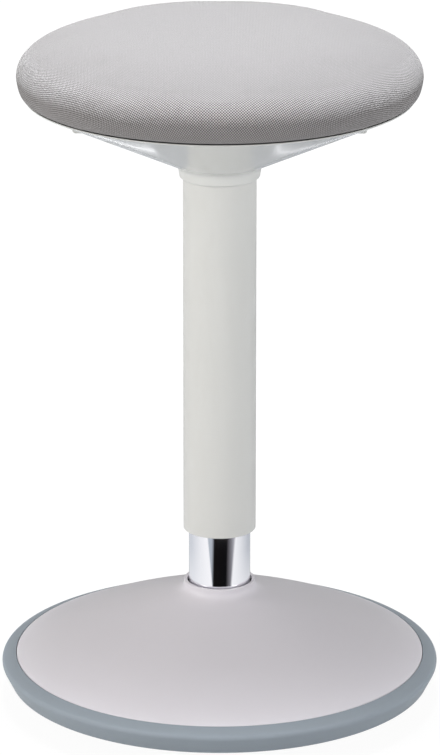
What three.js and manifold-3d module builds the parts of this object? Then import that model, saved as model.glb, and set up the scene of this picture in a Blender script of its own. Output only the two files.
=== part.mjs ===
// Wobble stool: a round padded seat on a gas column, over a weighted base with a rounded underside.
// Millimetres, +Z up, origin on the floor under the column. The front faces -Y, the levers lie along X.

import * as THREE from 'three';
import { mergeVertices } from 'three/addons/utils/BufferGeometryUtils.js';
import Module from 'manifold-3d';

const wasm = await Module();
wasm.setup();

// Clearances and facets
const clearance = 0.3; // between neighbours, seated or running
const overrun = 4; // how far a cutter passes the face it cuts
const weld = 1; // how far joined shapes of one piece sink into each other
const wideSides = 40;
const columnSides = 24;
const innerSides = 16;
const pinSides = 12;
const screwSides = 8;
const hexSides = 6;
const headFlatShare = 0.8; // flat top of a rounded screw head, as a share of its radius

// Floor pad and rocking pan
const padRadius = 40;
const padThickness = 3;
const padChamfer = 0.8;
const padGrooveWidth = 1.6;
const padGrooveDepth = 0.8;
const padGrooveShares = [0.45, 0.75]; // places of the two grip grooves, as shares of the pad's radius
const rockRadius = 494; // radius of the rounded underside
const panWall = 3;
const panLift = 0.5; // the pan's edge round the pad stays this far off the floor
const panArcShares = [0, 0.25, 0.5, 0.75, 1]; // steps along the underside, as shares of its run

// Dome, its collar and the soft rim
const rimRadius = 178.5; // the base's outermost circle
const rimWidth = 11.8; // across the rim's top, from the dome's edge
const rimFootInset = 6.5; // how far the rim draws in at its foot
const rimLip = 1.1; // how far its foot stands out past the pan
const domeEdgeHeight = 38;
const domeRise = 47.6; // from the dome's edge up to where its flare starts
const domeWall = 3;
const flareReach = 17; // width of the flare round the collar
const domeBulge = 1.7; // how far the dome swells past a straight cone
const domeArcSteps = 4;
const collarGap = 1.3; // open ring between the collar and the chrome tube
const collarWall = 2.7;
const collarRise = 15.2; // from the start of the flare up to the collar's top
const collarStraight = 3.6; // upright part of the collar over its flare
const collarRound = 0.8;
const collarLipDepth = 3.6;
const collarSealWall = 2.3;
const collarSealHeight = 10.1;
const flareSteps = 3;
const rimNoseRadius = 4;
const rimTopDrop = 2;
const rimNoseSteps = 4;
const rimNoseStart = THREE.MathUtils.degToRad(76); // where the nose's arc leaves the top
const rimNoseSweep = THREE.MathUtils.degToRad(103);

// Screws that hold the pan to the dome
const panScrewCount = 4;
const panScrewInset = 16.7; // from the dome's edge in to the circle they stand on
const panScrewRadius = 2;
const panScrewLength = 16;
const panScrewHeadRadius = 4;
const panScrewHeadHeight = 2.6;
const panBossRadius = 7;
const panPocketDepth = 5;
const panBossFloor = 3;
const domeBossRadius = 5.5;

// Ballast and column socket
const weightRoom = 17; // between the ballast and the screw bosses
const weightThickness = 16;
const weightChamfer = 3;
const weightBoreGap = 5;
const weightLift = 0.6; // room between the ballast's sloping underside and the pan
const socketWall = 5.7;
const socketNeckWall = 3.7;
const socketNeckLength = 16.5;
const socketToe = 2;
const socketFlangeWidth = 29;
const socketFlangeThickness = 6;
const socketRibThickness = 5;
const socketRibHeight = 28;
const socketRibInset = 3;
const socketBoltCount = 4;
const socketBoltInset = 10; // from the flange's edge in to the bolt circle
const socketBoltRadius = 4;
const socketBoltHeadRadius = 7.5;
const socketBoltHeadHeight = 5.3;
const socketBoltLength = 18;

// Chrome column tube and the bearing at its foot
const tubeRadius = 25;
const tubeWall = 2;
const tubeHeadRoom = 40.5; // between the tube's top and the seat bracket at the lowest seat
const tubeFootThickness = 4;
const tubeTaperHeight = 60;
const tubeTaperDrop = 0.7; // how much smaller the tapered foot is in radius
const rodRoom = 7.7; // space under the tube for the rod's end and its clip
const guideLength = 80;
const guideFlange = 1.6;
const guideFlangeInset = 0.4;
const raceRadius = 16;
const raceThickness = 2;
const cageRadius = 15;
const cageThickness = 3;

// Piston rod
const rodRadius = 5;
const rodTail = 5; // how far the rod stands out under the tube's foot
const rodNeckRadius = 4;
const rodShoulderRadius = 8;
const rodShoulderThickness = 3;
const rodTipRadius = 3.5;
const stroke = 220; // how far the seat rises
const pistonSpare = 58.2; // cylinder left between its seal and the piston when the seat is up
const pistonThickness = 12;
const pistonGroove = 3;
const pistonGrooveDepth = 2;
const clipRadius = 9;
const clipThickness = 1.3;
const bumpRadius = 12;
const bumpThickness = 8;

// Gas cylinder
const cylinderRadius = 14;
const cylinderWall = 1.5;
const cylinderLength = 449.2;
const cylinderTopWall = 8;
const cylinderTaperHeight = 50;
const cylinderTaperDrop = 0.8;
const sealThickness = 12;
const valveThickness = 24;
const buttonRadius = 4;
const buttonProud = 7; // how far the release button stands over the cylinder
const buttonDepth = 17;
const buttonTravel = 2.4;
const buttonRoom = 0.6; // left under the button when it is pressed home
const buttonCrownShare = 0.4; // height of the button's domed end, as a share of its radius

// Seat bracket: top plate, lever channel and taper socket, welded into one
const plateSpan = 140;
const plateCorner = 34;
const plateThickness = 3;
const channelLength = 100;
const channelRoom = 21.3; // height inside the channel
const channelWidth = 48;
const channelWall = 3;
const channelLift = 0.5; // the cylinder stops this far under the channel's floor top
const taperSocketWall = 4.7;
const taperSocketLength = 39;
const plateBoltInset = 18; // from the plate's sides in to its bolts
const plateBoltRadius = 3;
const plateBoltHeadRadius = 5.5;
const plateBoltHeadHeight = 4;
const plateBoltGrip = 9; // how far the bolt reaches into the board
const teeNutWall = 1.7;
const teeNutFlangeRadius = 9;
const teeNutFlangeThickness = 1.4;

// Release levers
const pivotOffset = 30;
const pivotRadius = 3;
const pivotHeadRadius = 4.5;
const pivotHeadThickness = 1.5;
const leverThickness = 5;
const leverWidth = 16;
const leverHubRadius = 6.5;
const pressGap = 0.5;
const leverNose = 5; // how far a lever's nose passes the column's axis
const forkThickness = 4;
const forkDepth = 14;
const linkRadius = 1.6;
const linkSlack = 0.5;
const paddleInset = 35.5; // from the cowl's rim in to the paddle's outer end
const paddleLength = 12.5;
const paddleProud = 10.5; // how far the paddle stands out under the cowl at its outer end
const paddleWidth = 36;
const paddleRound = 2.4;
const paddleSlope = 5;

// Outer sleeve and its bush
const sleeveBushWall = 1.4;
const sleeveBushLength = 14;
const sleeveBushInset = 1.2;
const sleeveWall = 2.4;
const tubeShown = 44.5; // chrome between the collar and the sleeve at the lowest seat
const sleeveRound = 0.8;
const sleeveInsertion = 18;

// Cowl under the seat
const cowlRimInset = 0.5; // from the cushion's seam in to the cowl's rim
const cowlRimLip = 0.9;
const cowlWall = 2.6;
const cowlDepth = 57.4;
const cowlCollarWall = 2.5;
const cowlCollarDraft = 1.3;
const cowlCollarHeight = 10.4;
const cowlCollarChamfer = 1.6;
const cowlStopWidth = 2.6;
const cowlStopThickness = 3;
const cowlSlotMargin = 1.8;
const seamGap = 0.6; // dark joint between the cowl and the cushion
const cowlScrewCount = 4;
const cowlScrewInset = 12; // from the cover's hem in to the screws
const cowlScrewRadius = 2;
const cowlScrewLength = 18;
const cowlScrewHeadRadius = 4;
const cowlScrewHeadHeight = 2.6;
const cowlBossRadius = 6.5;
const cowlBossFloor = 10;

// Seat board and cushion
const cushionRadius = 161.9;
const cushionTuck = 6.4; // how far the side draws in down to the seam
const boardInset = 9.5; // from the seam in to the board's edge
const boardThickness = 12;
const coverThickness = 1.2;
const hemWidth = 14; // of the cover that is turned in under the board
const cushionSide = 14.4; // height from the seam to the widest circle
const cushionCrown = 39.2; // height from the widest circle to the top
const crownSquareness = 3.247; // exponent of the crown's outline across
const crownFullness = 2.106; // exponent of the crown's outline upwards
const crownSteps = 8;
const sideSteps = 3;

// Materials, one for each finish
const finish = (color, roughness, metalness = 0) =>
  new THREE.MeshStandardMaterial({ color, roughness, metalness });
const rubber = finish(0x2b2d2f, 0.8);
const panPlastic = finish(0x3c4043, 0.6);
const domePlastic = finish(0xcac7cb, 0.45);
const rimRubber = finish(0x8e999f, 0.65);
const castIron = finish(0x4a4a48, 0.7, 0.6);
const steel = finish(0x9a9c9e, 0.35, 1);
const chrome = finish(0xe8e9ec, 0.05, 1);
const blackSteel = finish(0x26272a, 0.4, 0.5);
const nylon = finish(0xd9d8d2, 0.5);
const sleevePaint = finish(0xd5d6d1, 0.4);
const cowlPlastic = finish(0xc6cac8, 0.2);
const plywood = finish(0xc9a878, 0.7);
const foam = finish(0xd8cfae, 0.95);
const fabric = finish(0xa9a5a5, 0.95);

// Groups: what stands still, what swivels with the rod, what rises with the seat, and the release parts
const stool = new THREE.Group();
const base = new THREE.Group();
const rod = new THREE.Group();
const seat = new THREE.Group();
const release = new THREE.Group();
stool.add(base, rod, seat, release);

// One named piece of a group
function piece(group, name, geometry, material) {
  const mesh = new THREE.Mesh(geometry, material);
  mesh.name = name;
  group.add(mesh);
  return mesh;
}

// A turned solid: the outline's points are [radius, height], going round it either way.
function turned(outline, sides) {
  const points = outline.map(([radius, height]) => new THREE.Vector2(radius, height));
  const onAxis = points[0].x === 0 && points.at(-1).x === 0;
  if (!onAxis) points.push(points[0].clone());
  if (THREE.ShapeUtils.area(points) < 0) points.reverse();
  return new THREE.LatheGeometry(points, sides).rotateX(Math.PI / 2);
}

const ring = (inner, outer, low, high, sides) =>
  turned([[inner, low], [outer, low], [outer, high], [inner, high]], sides);

const disc = (radius, low, high, sides) =>
  turned([[0, low], [radius, low], [radius, high], [0, high]], sides);

// A flat outline in X and Y, extruded up from zero, with round holes given as [x, y, radius]
function slab(points, thickness, holes = []) {
  const shape = new THREE.Shape(points);
  for (const [x, y, radius] of holes) {
    const hole = new THREE.Path();
    hole.absarc(x, y, radius, 0, 2 * Math.PI, true);
    shape.holes.push(hole);
  }
  const settings = { depth: thickness, bevelEnabled: false, curveSegments: screwSides };
  return new THREE.ExtrudeGeometry(shape, settings);
}

// An outline in X and Z, extruded to half its width on both sides of Y
function bar(points, width) {
  const shape = new THREE.Shape(points.map(([x, z]) => new THREE.Vector2(x, z)));
  const geometry = new THREE.ExtrudeGeometry(shape, { depth: width, bevelEnabled: false });
  return geometry.translate(0, 0, -width / 2).rotateX(Math.PI / 2);
}

const across = (geometry) => geometry.rotateX(Math.PI / 2); // lays a turned piece's axis along Y

function box(lowX, highX, lowY, highY, lowZ, highZ) {
  const geometry = new THREE.BoxGeometry(highX - lowX, highY - lowY, highZ - lowZ);
  return geometry.translate((lowX + highX) / 2, (lowY + highY) / 2, (lowZ + highZ) / 2);
}

// Closed geometry to a manifold solid and back
function solidOf(geometry) {
  const bare = geometry.index ? geometry.toNonIndexed() : geometry.clone();
  bare.deleteAttribute('normal');
  bare.deleteAttribute('uv');
  const merged = mergeVertices(bare);
  return new wasm.Manifold(new wasm.Mesh({
    numProp: 3,
    vertProperties: merged.attributes.position.array,
    triVerts: new Uint32Array(merged.index.array),
  }));
}

function geometryOf(solid) {
  const mesh = solid.getMesh();
  const geometry = new THREE.BufferGeometry();
  geometry.setAttribute('position', new THREE.BufferAttribute(mesh.vertProperties, mesh.numProp));
  geometry.setIndex(new THREE.BufferAttribute(mesh.triVerts, 1));
  geometry.computeVertexNormals();
  return geometry;
}

const joined = (...geometries) =>
  geometryOf(geometries.map(solidOf).reduce((whole, part) => whole.add(part)));

const cut = (geometry, ...cutters) =>
  geometryOf(cutters.map(solidOf).reduce((whole, part) => whole.subtract(part), solidOf(geometry)));

// The places of count pieces on a circle, the first one turned by start
const around = (count, radius, start = 0) =>
  Array.from({ length: count }, (_, i) => {
    const angle = start + (i * 2 * Math.PI) / count;
    return [radius * Math.cos(angle), radius * Math.sin(angle), angle];
  });

// A small upright disc at each of the places: a boss, or the cutter of a hole or a pocket
const discsAt = (places, radius, low, high) =>
  places.map(([x, y]) => disc(radius, low, high, screwSides).translate(x, y, 0));

// Bosses that start or end inside a wall: what lies past the wall's middle surface is taken off them
const seatedBosses = (places, radius, low, high, pastWall) =>
  discsAt(places, radius, low, high).map((boss) => cut(boss, pastWall));

// A screw that points up from its round head: its seat is at height zero
const roundScrew = (radius, length, headRadius, headHeight) =>
  turned([
    [0, -headHeight], [headRadius * headFlatShare, -headHeight],
    [headRadius, -headHeight / 2], [headRadius, 0],
    [radius, 0], [radius, length], [0, length],
  ], screwSides);

// A bolt that points down from its hexagonal head
function hexBolt(radius, length, headRadius, headHeight) {
  const head = disc(headRadius, 0, headHeight, hexSides);
  const shank = disc(radius, -length, weld, screwSides);
  return joined(head, shank);
}

// Circles of the base, from the rim inwards
const domeRadius = rimRadius - rimWidth;
const rimFootRadius = rimRadius - rimFootInset;
const panRadius = rimFootRadius - rimLip;
const panScrewCircle = domeRadius - panScrewInset;
const weightRadius = panScrewCircle - panBossRadius - weightRoom;
const collarInner = tubeRadius + collarGap;
const collarOuter = collarInner + collarWall;
const domeShoulderRadius = collarOuter + flareReach;
const domeShoulderHeight = domeEdgeHeight + domeRise;
const collarHeight = domeShoulderHeight + collarRise;

// Circles of the seat, from the cushion's widest inwards
const seamRadius = cushionRadius - cushionTuck;
const boardRadius = seamRadius - boardInset;
const hemRadius = boardRadius - hemWidth;
const cowlRimRadius = seamRadius - cowlRimInset;
const cowlScrewCircle = hemRadius - cowlScrewInset;
const paddleReach = cowlRimRadius - paddleInset;

// Underside of the pan and the surfaces that follow it
const rockRise = (radius) =>
  rockRadius - Math.sqrt(rockRadius ** 2 - Math.max(0, radius - padRadius) ** 2);
const panUnder = (radius) => panLift + rockRise(radius);
const panTop = (radius) => panUnder(radius) + panWall;
const panRecess = padThickness + clearance;
const panCentreTop = panRecess + panWall;
const tubeBottom = panCentreTop + rodRoom;
const socketRadius = tubeRadius + clearance + socketWall;
const socketFlangeRadius = socketRadius + socketFlangeWidth;
const socketBoltCircle = socketFlangeRadius - socketBoltInset;

// Floor pad: a rubber disc with two grip grooves, set in the pan
function floorPad() {
  const outline = [[0, 0]];
  for (const share of padGrooveShares) {
    const inner = share * padRadius;
    outline.push([inner, 0], [inner, padGrooveDepth]);
    outline.push([inner + padGrooveWidth, padGrooveDepth], [inner + padGrooveWidth, 0]);
  }
  outline.push([padRadius - padChamfer, 0], [padRadius, padChamfer]);
  outline.push([padRadius, padThickness], [0, padThickness]);
  return turned(outline, columnSides);
}

// Pan: the rocking underside, raised over the pad, with a boss round each screw
const panScrews = around(panScrewCount, panScrewCircle, Math.PI / panScrewCount);
const panBossTop = panTop(panScrewCircle) + panPocketDepth;
const panSeat = panBossTop - panBossFloor;

function pan() {
  const recess = padRadius + clearance;
  const wall = recess + panWall;
  const outward = panArcShares.map((share) => recess + share * (panRadius - recess));
  const inward = panArcShares.map((share) => panRadius - share * (panRadius - wall));
  const shell = turned([
    [0, panRecess], [recess, panRecess],
    ...outward.map((radius) => [radius, panUnder(radius)]),
    ...inward.map((radius) => [radius, panTop(radius)]),
    [wall, panCentreTop], [0, panCentreTop],
  ], wideSides);
  const middle = turned([
    [0, -overrun], [panRadius, -overrun],
    ...inward.map((radius) => [radius, (panUnder(radius) + panTop(radius)) / 2]), [0, panTop(0)],
  ], wideSides);
  const bosses = seatedBosses(panScrews, panBossRadius, 0, panBossTop, middle);
  const pockets = discsAt(panScrews, panScrewHeadRadius + clearance, -overrun, panSeat);
  const holes = discsAt(panScrews, panScrewRadius + clearance, -overrun, panBossTop + overrun);
  return cut(joined(shell, ...bosses), ...pockets, ...holes);
}

// Dome: a slightly swollen cone that flares up into the collar round the chrome tube
const domeRun = domeRadius - domeShoulderRadius;
const shoulderSlope = (domeRise - 4 * domeBulge) / domeRun;
const sealOuter = tubeRadius + clearance + collarSealWall;
const sealTop = collarHeight - collarLipDepth - clearance;
const sealBottom = sealTop - collarSealHeight;
const skirtBottom = panTop(domeRadius) + clearance;
const domeBossBottom = panBossTop + clearance;

function domeHeight(radius) {
  const share = (domeRadius - radius) / domeRun;
  return domeEdgeHeight + domeRise * share + 4 * domeBulge * share * (1 - share);
}

function dome() {
  const steps = Array.from({ length: domeArcSteps + 1 }, (_, i) => i / domeArcSteps);
  const outer = steps.map((share) => domeRadius - share * domeRun);
  const flareLow = new THREE.Vector2(domeShoulderRadius, domeShoulderHeight);
  const flareBend = new THREE.Vector2(
    collarOuter, domeShoulderHeight + shoulderSlope * (domeShoulderRadius - collarOuter));
  const flareHigh = new THREE.Vector2(collarOuter, collarHeight - collarStraight);
  const flare = new THREE.QuadraticBezierCurve(flareLow, flareBend, flareHigh).getPoints(flareSteps);
  const innerRun = steps.map((share) => domeShoulderRadius + share * (domeRun - domeWall));
  const drop = domeWall * Math.hypot(1, domeRise / domeRun);
  const sealBore = sealOuter + clearance;
  const shell = turned([
    [domeRadius, skirtBottom],
    ...outer.map((radius) => [radius, domeHeight(radius)]),
    ...flare.slice(1).map(({ x, y }) => [x, y]),
    [collarOuter, collarHeight - collarRound],
    [collarOuter - collarRound, collarHeight],
    [collarInner, collarHeight],
    [collarInner, sealTop + clearance],
    [sealBore, sealTop + clearance],
    [sealBore, flareBend.y],
    [collarOuter + domeWall, flareBend.y - domeWall],
    ...innerRun.map((radius) => [radius, domeHeight(radius) - drop]),
    [domeRadius - domeWall, skirtBottom],
  ], wideSides);
  const middle = turned([
    [domeRadius, domeEdgeHeight - drop / 2], [domeRadius, collarHeight],
    [domeShoulderRadius, collarHeight],
    ...innerRun.map((radius) => [radius, domeHeight(radius) - drop / 2]),
  ], wideSides);
  const bosses = seatedBosses(panScrews, domeBossRadius, domeBossBottom, collarHeight - overrun, middle);
  const pilotTop = panSeat + panScrewLength + clearance;
  const pilots = discsAt(panScrews, panScrewRadius + clearance, domeBossBottom - overrun, pilotTop);
  return cut(joined(shell, ...bosses), ...pilots);
}

// Rim: a soft ring that wraps the edges of the dome and the pan
function rim() {
  const inner = domeRadius + clearance;
  const noseX = rimRadius - rimNoseRadius;
  const noseZ = domeEdgeHeight - rimTopDrop - rimNoseRadius;
  const nose = Array.from({ length: rimNoseSteps + 1 }, (_, i) => {
    const angle = rimNoseStart - (i * rimNoseSweep) / rimNoseSteps;
    return [noseX + rimNoseRadius * Math.cos(angle), noseZ + rimNoseRadius * Math.sin(angle)];
  });
  const foot = panUnder(panRadius);
  return turned([
    [inner, domeEdgeHeight],
    ...nose,
    [rimFootRadius, foot],
    [panRadius + clearance, foot],
    [panRadius + clearance, panTop(panRadius) + clearance],
    [inner, panTop(panRadius) + clearance],
  ], wideSides);
}

// Ballast: a cast ring that lies on the pan and carries the column socket
const weightBottom = panCentreTop + clearance;
const weightTop = weightBottom + weightThickness;
const socketBolts = around(socketBoltCount, socketBoltCircle);
const flangeBottom = weightTop + clearance;
const flangeTop = flangeBottom + socketFlangeThickness;

function ballast() {
  const flatRun = Math.sqrt(2 * rockRadius * (weightBottom - panLift - panWall - weightLift));
  const flatEnd = padRadius + flatRun;
  const outline = [
    [socketRadius + weightBoreGap, weightBottom],
    [flatEnd, weightBottom],
    [(flatEnd + weightRadius) / 2, panTop((flatEnd + weightRadius) / 2) + weightLift],
    [weightRadius, panTop(weightRadius) + weightLift],
    [weightRadius, weightTop - weightChamfer],
    [weightRadius - weightChamfer, weightTop],
    [socketRadius + weightBoreGap, weightTop],
  ];
  const threadEnd = flangeTop - socketBoltLength - clearance;
  const threads = discsAt(socketBolts, socketBoltRadius + clearance, threadEnd, weightTop + overrun);
  return cut(turned(outline, wideSides), ...threads);
}

// Column socket: a flanged barrel with four ribs, bored to the tube's tapered foot
function columnSocket() {
  const bore = tubeRadius + clearance;
  const low = tubeBottom - socketToe;
  const neck = bore + socketNeckWall;
  const top = sealBottom - clearance;
  const neckBase = top - socketNeckLength;
  const barrel = turned([
    [bore - tubeTaperDrop, low], [socketRadius, low],
    [socketRadius, neckBase], [neck, neckBase + socketWall],
    [neck, top], [bore, top],
    [bore, tubeBottom + tubeTaperHeight], [bore - tubeTaperDrop, tubeBottom],
  ], columnSides);
  const flange = ring(socketRadius - weld, socketFlangeRadius, flangeBottom, flangeTop, columnSides);
  const ribs = around(socketBoltCount, 0, Math.PI / socketBoltCount).map(([, , angle]) =>
    bar([
      [socketRadius - weld, flangeTop - weld], [socketFlangeRadius - socketRibInset, flangeTop - weld],
      [socketRadius - weld, flangeTop + socketRibHeight],
    ], socketRibThickness).rotateZ(angle));
  const holes = discsAt(
    socketBolts, socketBoltRadius + clearance, flangeBottom - overrun, flangeTop + overrun);
  return cut(joined(barrel, flange, ...ribs), ...holes);
}

// Heights up the column: the bearing and what stands on it, the gas cylinder and the bracket on its head
const footTop = tubeBottom + tubeFootThickness;
const lowerRace = footTop + clearance;
const cage = lowerRace + raceThickness + clearance;
const upperRace = cage + cageThickness + clearance;
const rodShoulder = upperRace + raceThickness + clearance;
const bumpStop = rodShoulder + rodShoulderThickness + clearance;
const cylinderBottom = bumpStop + bumpThickness + clearance;
const cylinderTop = cylinderBottom + cylinderLength;
const pistonHeight = cylinderBottom + sealThickness + stroke + pistonSpare;
const channelFloorTop = cylinderTop + channelLift;
const channelFloorLow = channelFloorTop - channelWall;
const taperSocketLow = channelFloorLow - taperSocketLength;
const tubeTop = taperSocketLow - tubeHeadRoom;

// Chrome tube: open at the top, tapered at the foot, its floor bored for the piston rod
const tubeBore = tubeRadius - tubeWall;

function chromeTube() {
  return turned([
    [rodRadius + clearance, tubeBottom], [tubeRadius - tubeTaperDrop, tubeBottom],
    [tubeRadius, tubeBottom + tubeTaperHeight], [tubeRadius, tubeTop],
    [tubeBore, tubeTop], [tubeBore, tubeBottom + tubeTaperHeight],
    [tubeBore - tubeTaperDrop, footTop], [rodRadius + clearance, footTop],
  ], columnSides);
}

function guideBush() {
  const inner = cylinderRadius + clearance;
  const outer = tubeBore - clearance;
  const flangeOuter = tubeRadius - guideFlangeInset;
  const flangeLow = tubeTop + clearance;
  return turned([
    [inner, flangeLow - guideLength], [outer, flangeLow - guideLength], [outer, flangeLow],
    [flangeOuter, flangeLow], [flangeOuter, flangeLow + guideFlange],
    [inner, flangeLow + guideFlange],
  ], innerSides);
}

// Piston rod: a neck for the clip at its foot, a shoulder on the bearing and a thinner tip for the piston
const clipBottom = tubeBottom - clearance - clipThickness;

function pistonRod() {
  const tipTop = pistonHeight + clearance + pistonThickness;
  return turned([
    [0, tubeBottom - rodTail], [rodRadius, tubeBottom - rodTail],
    [rodRadius, clipBottom - clearance], [rodNeckRadius, clipBottom - clearance],
    [rodNeckRadius, tubeBottom], [rodRadius, tubeBottom],
    [rodRadius, rodShoulder], [rodShoulderRadius, rodShoulder],
    [rodShoulderRadius, rodShoulder + rodShoulderThickness], [rodRadius, rodShoulder + rodShoulderThickness],
    [rodRadius, pistonHeight], [rodTipRadius, pistonHeight],
    [rodTipRadius, tipTop], [0, tipTop],
  ], pinSides);
}

const cylinderBore = cylinderRadius - cylinderWall;

function piston() {
  const inner = rodTipRadius + clearance;
  const outer = cylinderBore - clearance;
  const low = pistonHeight + clearance;
  const grooveLow = low + (pistonThickness - pistonGroove) / 2;
  return turned([
    [inner, low], [outer, low], [outer, grooveLow], [outer - pistonGrooveDepth, grooveLow],
    [outer - pistonGrooveDepth, grooveLow + pistonGroove], [outer, grooveLow + pistonGroove],
    [outer, low + pistonThickness], [inner, low + pistonThickness],
  ], innerSides);
}

function pistonSeal() {
  const middle = pistonHeight + clearance + pistonThickness / 2;
  const half = pistonGroove / 2 - clearance;
  const outer = cylinderBore - clearance;
  return ring(outer - pistonGrooveDepth + clearance, outer, middle - half, middle + half, innerSides);
}

// Gas cylinder: open at the foot for its seal, tapered at the head, which is bored for the button
function gasCylinder() {
  const head = cylinderRadius - cylinderTaperDrop;
  return turned([
    [cylinderBore, cylinderBottom], [cylinderRadius, cylinderBottom],
    [cylinderRadius, cylinderTop - cylinderTaperHeight], [head, cylinderTop],
    [buttonRadius + clearance, cylinderTop], [buttonRadius + clearance, cylinderTop - cylinderTopWall],
    [cylinderBore - cylinderTaperDrop, cylinderTop - cylinderTopWall],
    [cylinderBore, cylinderTop - cylinderTaperHeight],
  ], innerSides);
}

const cylinderSeal = () => ring(
  rodRadius + clearance, cylinderBore - clearance,
  cylinderBottom, cylinderBottom + sealThickness, innerSides);

// Valve body under the cylinder's head, with the blind bore that the release button slides in
const valveTop = cylinderTop - cylinderTopWall - clearance;
const buttonTop = cylinderTop + buttonProud;
const buttonBottom = valveTop - buttonDepth + cylinderTopWall;

function valveBody() {
  const outer = cylinderBore - cylinderTaperDrop - clearance;
  const bore = buttonRadius + clearance;
  const boreEnd = buttonBottom - buttonTravel - buttonRoom;
  return turned([
    [0, valveTop - valveThickness], [outer, valveTop - valveThickness], [outer, valveTop],
    [bore, valveTop], [bore, boreEnd], [0, boreEnd],
  ], innerSides);
}

// Release button: a pin with a domed head
function releaseButton() {
  const crown = buttonTop - buttonRadius * buttonCrownShare;
  return turned([
    [0, buttonBottom], [buttonRadius, buttonBottom], [buttonRadius, crown],
    [buttonRadius * headFlatShare, (crown + buttonTop) / 2], [0, buttonTop],
  ], pinSides);
}

// Seat bracket, from the cylinder's head up to the board
const plateLow = channelFloorTop + channelRoom;
const plateTop = plateLow + plateThickness;
const boardLow = plateTop + clearance;
const boardTop = boardLow + boardThickness;
const taperOuter = cylinderRadius + clearance + taperSocketWall;
const pivotHeight = buttonTop + pressGap + leverThickness / 2;
const plateBoltOffset = plateSpan / 2 - plateBoltInset;
const plateBolts = [[1, 1], [-1, 1], [-1, -1], [1, -1]]
  .map(([x, y]) => [x * plateBoltOffset, y * plateBoltOffset]);

function roundedSquare(span, corner) {
  const half = span / 2;
  const shape = new THREE.Shape();
  shape.moveTo(half, corner - half);
  shape.absarc(half - corner, half - corner, corner, 0, Math.PI / 2);
  shape.absarc(corner - half, half - corner, corner, Math.PI / 2, Math.PI);
  shape.absarc(corner - half, corner - half, corner, Math.PI, 1.5 * Math.PI);
  shape.absarc(half - corner, corner - half, corner, 1.5 * Math.PI, 2 * Math.PI);
  return shape.getPoints(pinSides / 4);
}

function seatBracket() {
  const half = channelWidth / 2;
  const plate = slab(roundedSquare(plateSpan, plateCorner), plateThickness,
    plateBolts.map(([x, y]) => [x, y, plateBoltRadius + clearance])).translate(0, 0, plateLow);
  const long = channelLength / 2;
  const floor = box(-long, long, -half, half, channelFloorLow, channelFloorTop);
  const walls = [0, Math.PI].map((angle) =>
    box(-long, long, half - channelWall, half, channelFloorTop - weld, plateLow + weld).rotateZ(angle));
  const socket = disc(taperOuter, taperSocketLow, channelFloorLow + weld, columnSides);
  const bore = cylinderRadius + clearance;
  const taperLow = cylinderTop - cylinderTaperHeight;
  const boreLow = Math.min(taperSocketLow, taperLow) - overrun;
  const taper = turned([
    [0, boreLow], [bore, boreLow], [bore, taperLow],
    [bore - cylinderTaperDrop, cylinderTop],
    [bore - cylinderTaperDrop, channelFloorTop + overrun], [0, channelFloorTop + overrun],
  ], innerSides);
  const pins = [-1, 1].map((side) =>
    across(disc(pivotRadius + clearance, -half - overrun, half + overrun, screwSides))
      .translate(side * pivotOffset, 0, pivotHeight));
  return cut(joined(plate, floor, ...walls, socket), taper, ...pins);
}

// Pivot pin of a lever: a headed pin through both walls of the channel
function pivotPin() {
  const half = channelWidth / 2;
  const headLow = half + clearance;
  return across(turned([
    [0, -headLow], [pivotRadius, -headLow], [pivotRadius, headLow], [pivotHeadRadius, headLow],
    [pivotHeadRadius, headLow + pivotHeadThickness], [0, headLow + pivotHeadThickness],
  ], screwSides));
}

// Levers: each turns on its pin, its paddle outside the cowl and its nose over the button.
// The left nose is one tongue that holds the link pin, the right nose is a fork round it.
const leverLow = buttonTop + pressGap;
const leverTop = leverLow + leverThickness;
const tongueWidth = leverWidth - 2 * (forkThickness + clearance);

function leverBlank(noseWidth) {
  const paddleIn = paddleReach - paddleLength;
  const paddleLow = coneHeight(paddleReach) - paddleProud;
  const arm = bar([
    [forkDepth - weld, leverLow], [paddleIn, leverLow], [paddleIn, leverTop], [forkDepth - weld, leverTop],
  ], leverWidth);
  const nose = bar([
    [-leverNose, leverLow], [forkDepth, leverLow], [forkDepth, leverTop], [-leverNose, leverTop],
  ], noseWidth);
  const paddle = bar([
    [paddleIn - paddleSlope, leverLow], [paddleIn, paddleLow + paddleRound],
    [paddleIn + paddleRound, paddleLow], [paddleReach - paddleRound, paddleLow],
    [paddleReach, paddleLow + paddleRound], [paddleReach, leverTop], [paddleIn - paddleSlope, leverTop],
  ], paddleWidth);
  const hubHalf = channelWidth / 2 - channelWall - clearance;
  const hub = across(disc(leverHubRadius, -hubHalf, hubHalf, pinSides));
  return joined(arm, nose, paddle, hub.translate(pivotOffset, 0, pivotHeight));
}

function pivotBore() {
  const bore = across(disc(pivotRadius + clearance, -channelWidth, channelWidth, screwSides));
  return bore.translate(pivotOffset, 0, pivotHeight);
}

const linkReach = linkRadius + clearance;

function linkBore() {
  const bore = across(disc(linkReach, -leverWidth, leverWidth, screwSides));
  return bore.translate(0, 0, pivotHeight);
}

// The fork's slots are longer than they are high, because its pin swings on the other lever's circle.
function linkSlot() {
  const reach = linkReach + linkSlack;
  return box(-reach, reach, -leverWidth, leverWidth, pivotHeight - linkReach, pivotHeight + linkReach);
}

function leftLever() {
  return cut(leverBlank(tongueWidth), pivotBore(), linkBore()).rotateZ(Math.PI);
}

function rightLever() {
  const gapHalf = tongueWidth / 2 + clearance;
  const forkRoom = box(-leverNose - overrun, forkDepth + leverNose, -gapHalf, gapHalf,
    leverLow - overrun, leverTop + overrun);
  return cut(leverBlank(leverWidth), pivotBore(), linkSlot(), forkRoom);
}

const linkPin = () =>
  across(disc(linkRadius, -leverWidth / 2, leverWidth / 2, screwSides)).translate(0, 0, pivotHeight);

// Cushion outline, drawn in by an inset so that the cover and the foam follow one shape
const coverLow = boardLow - clearance - coverThickness;
const cushionWidest = coverLow + cushionSide;

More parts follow.
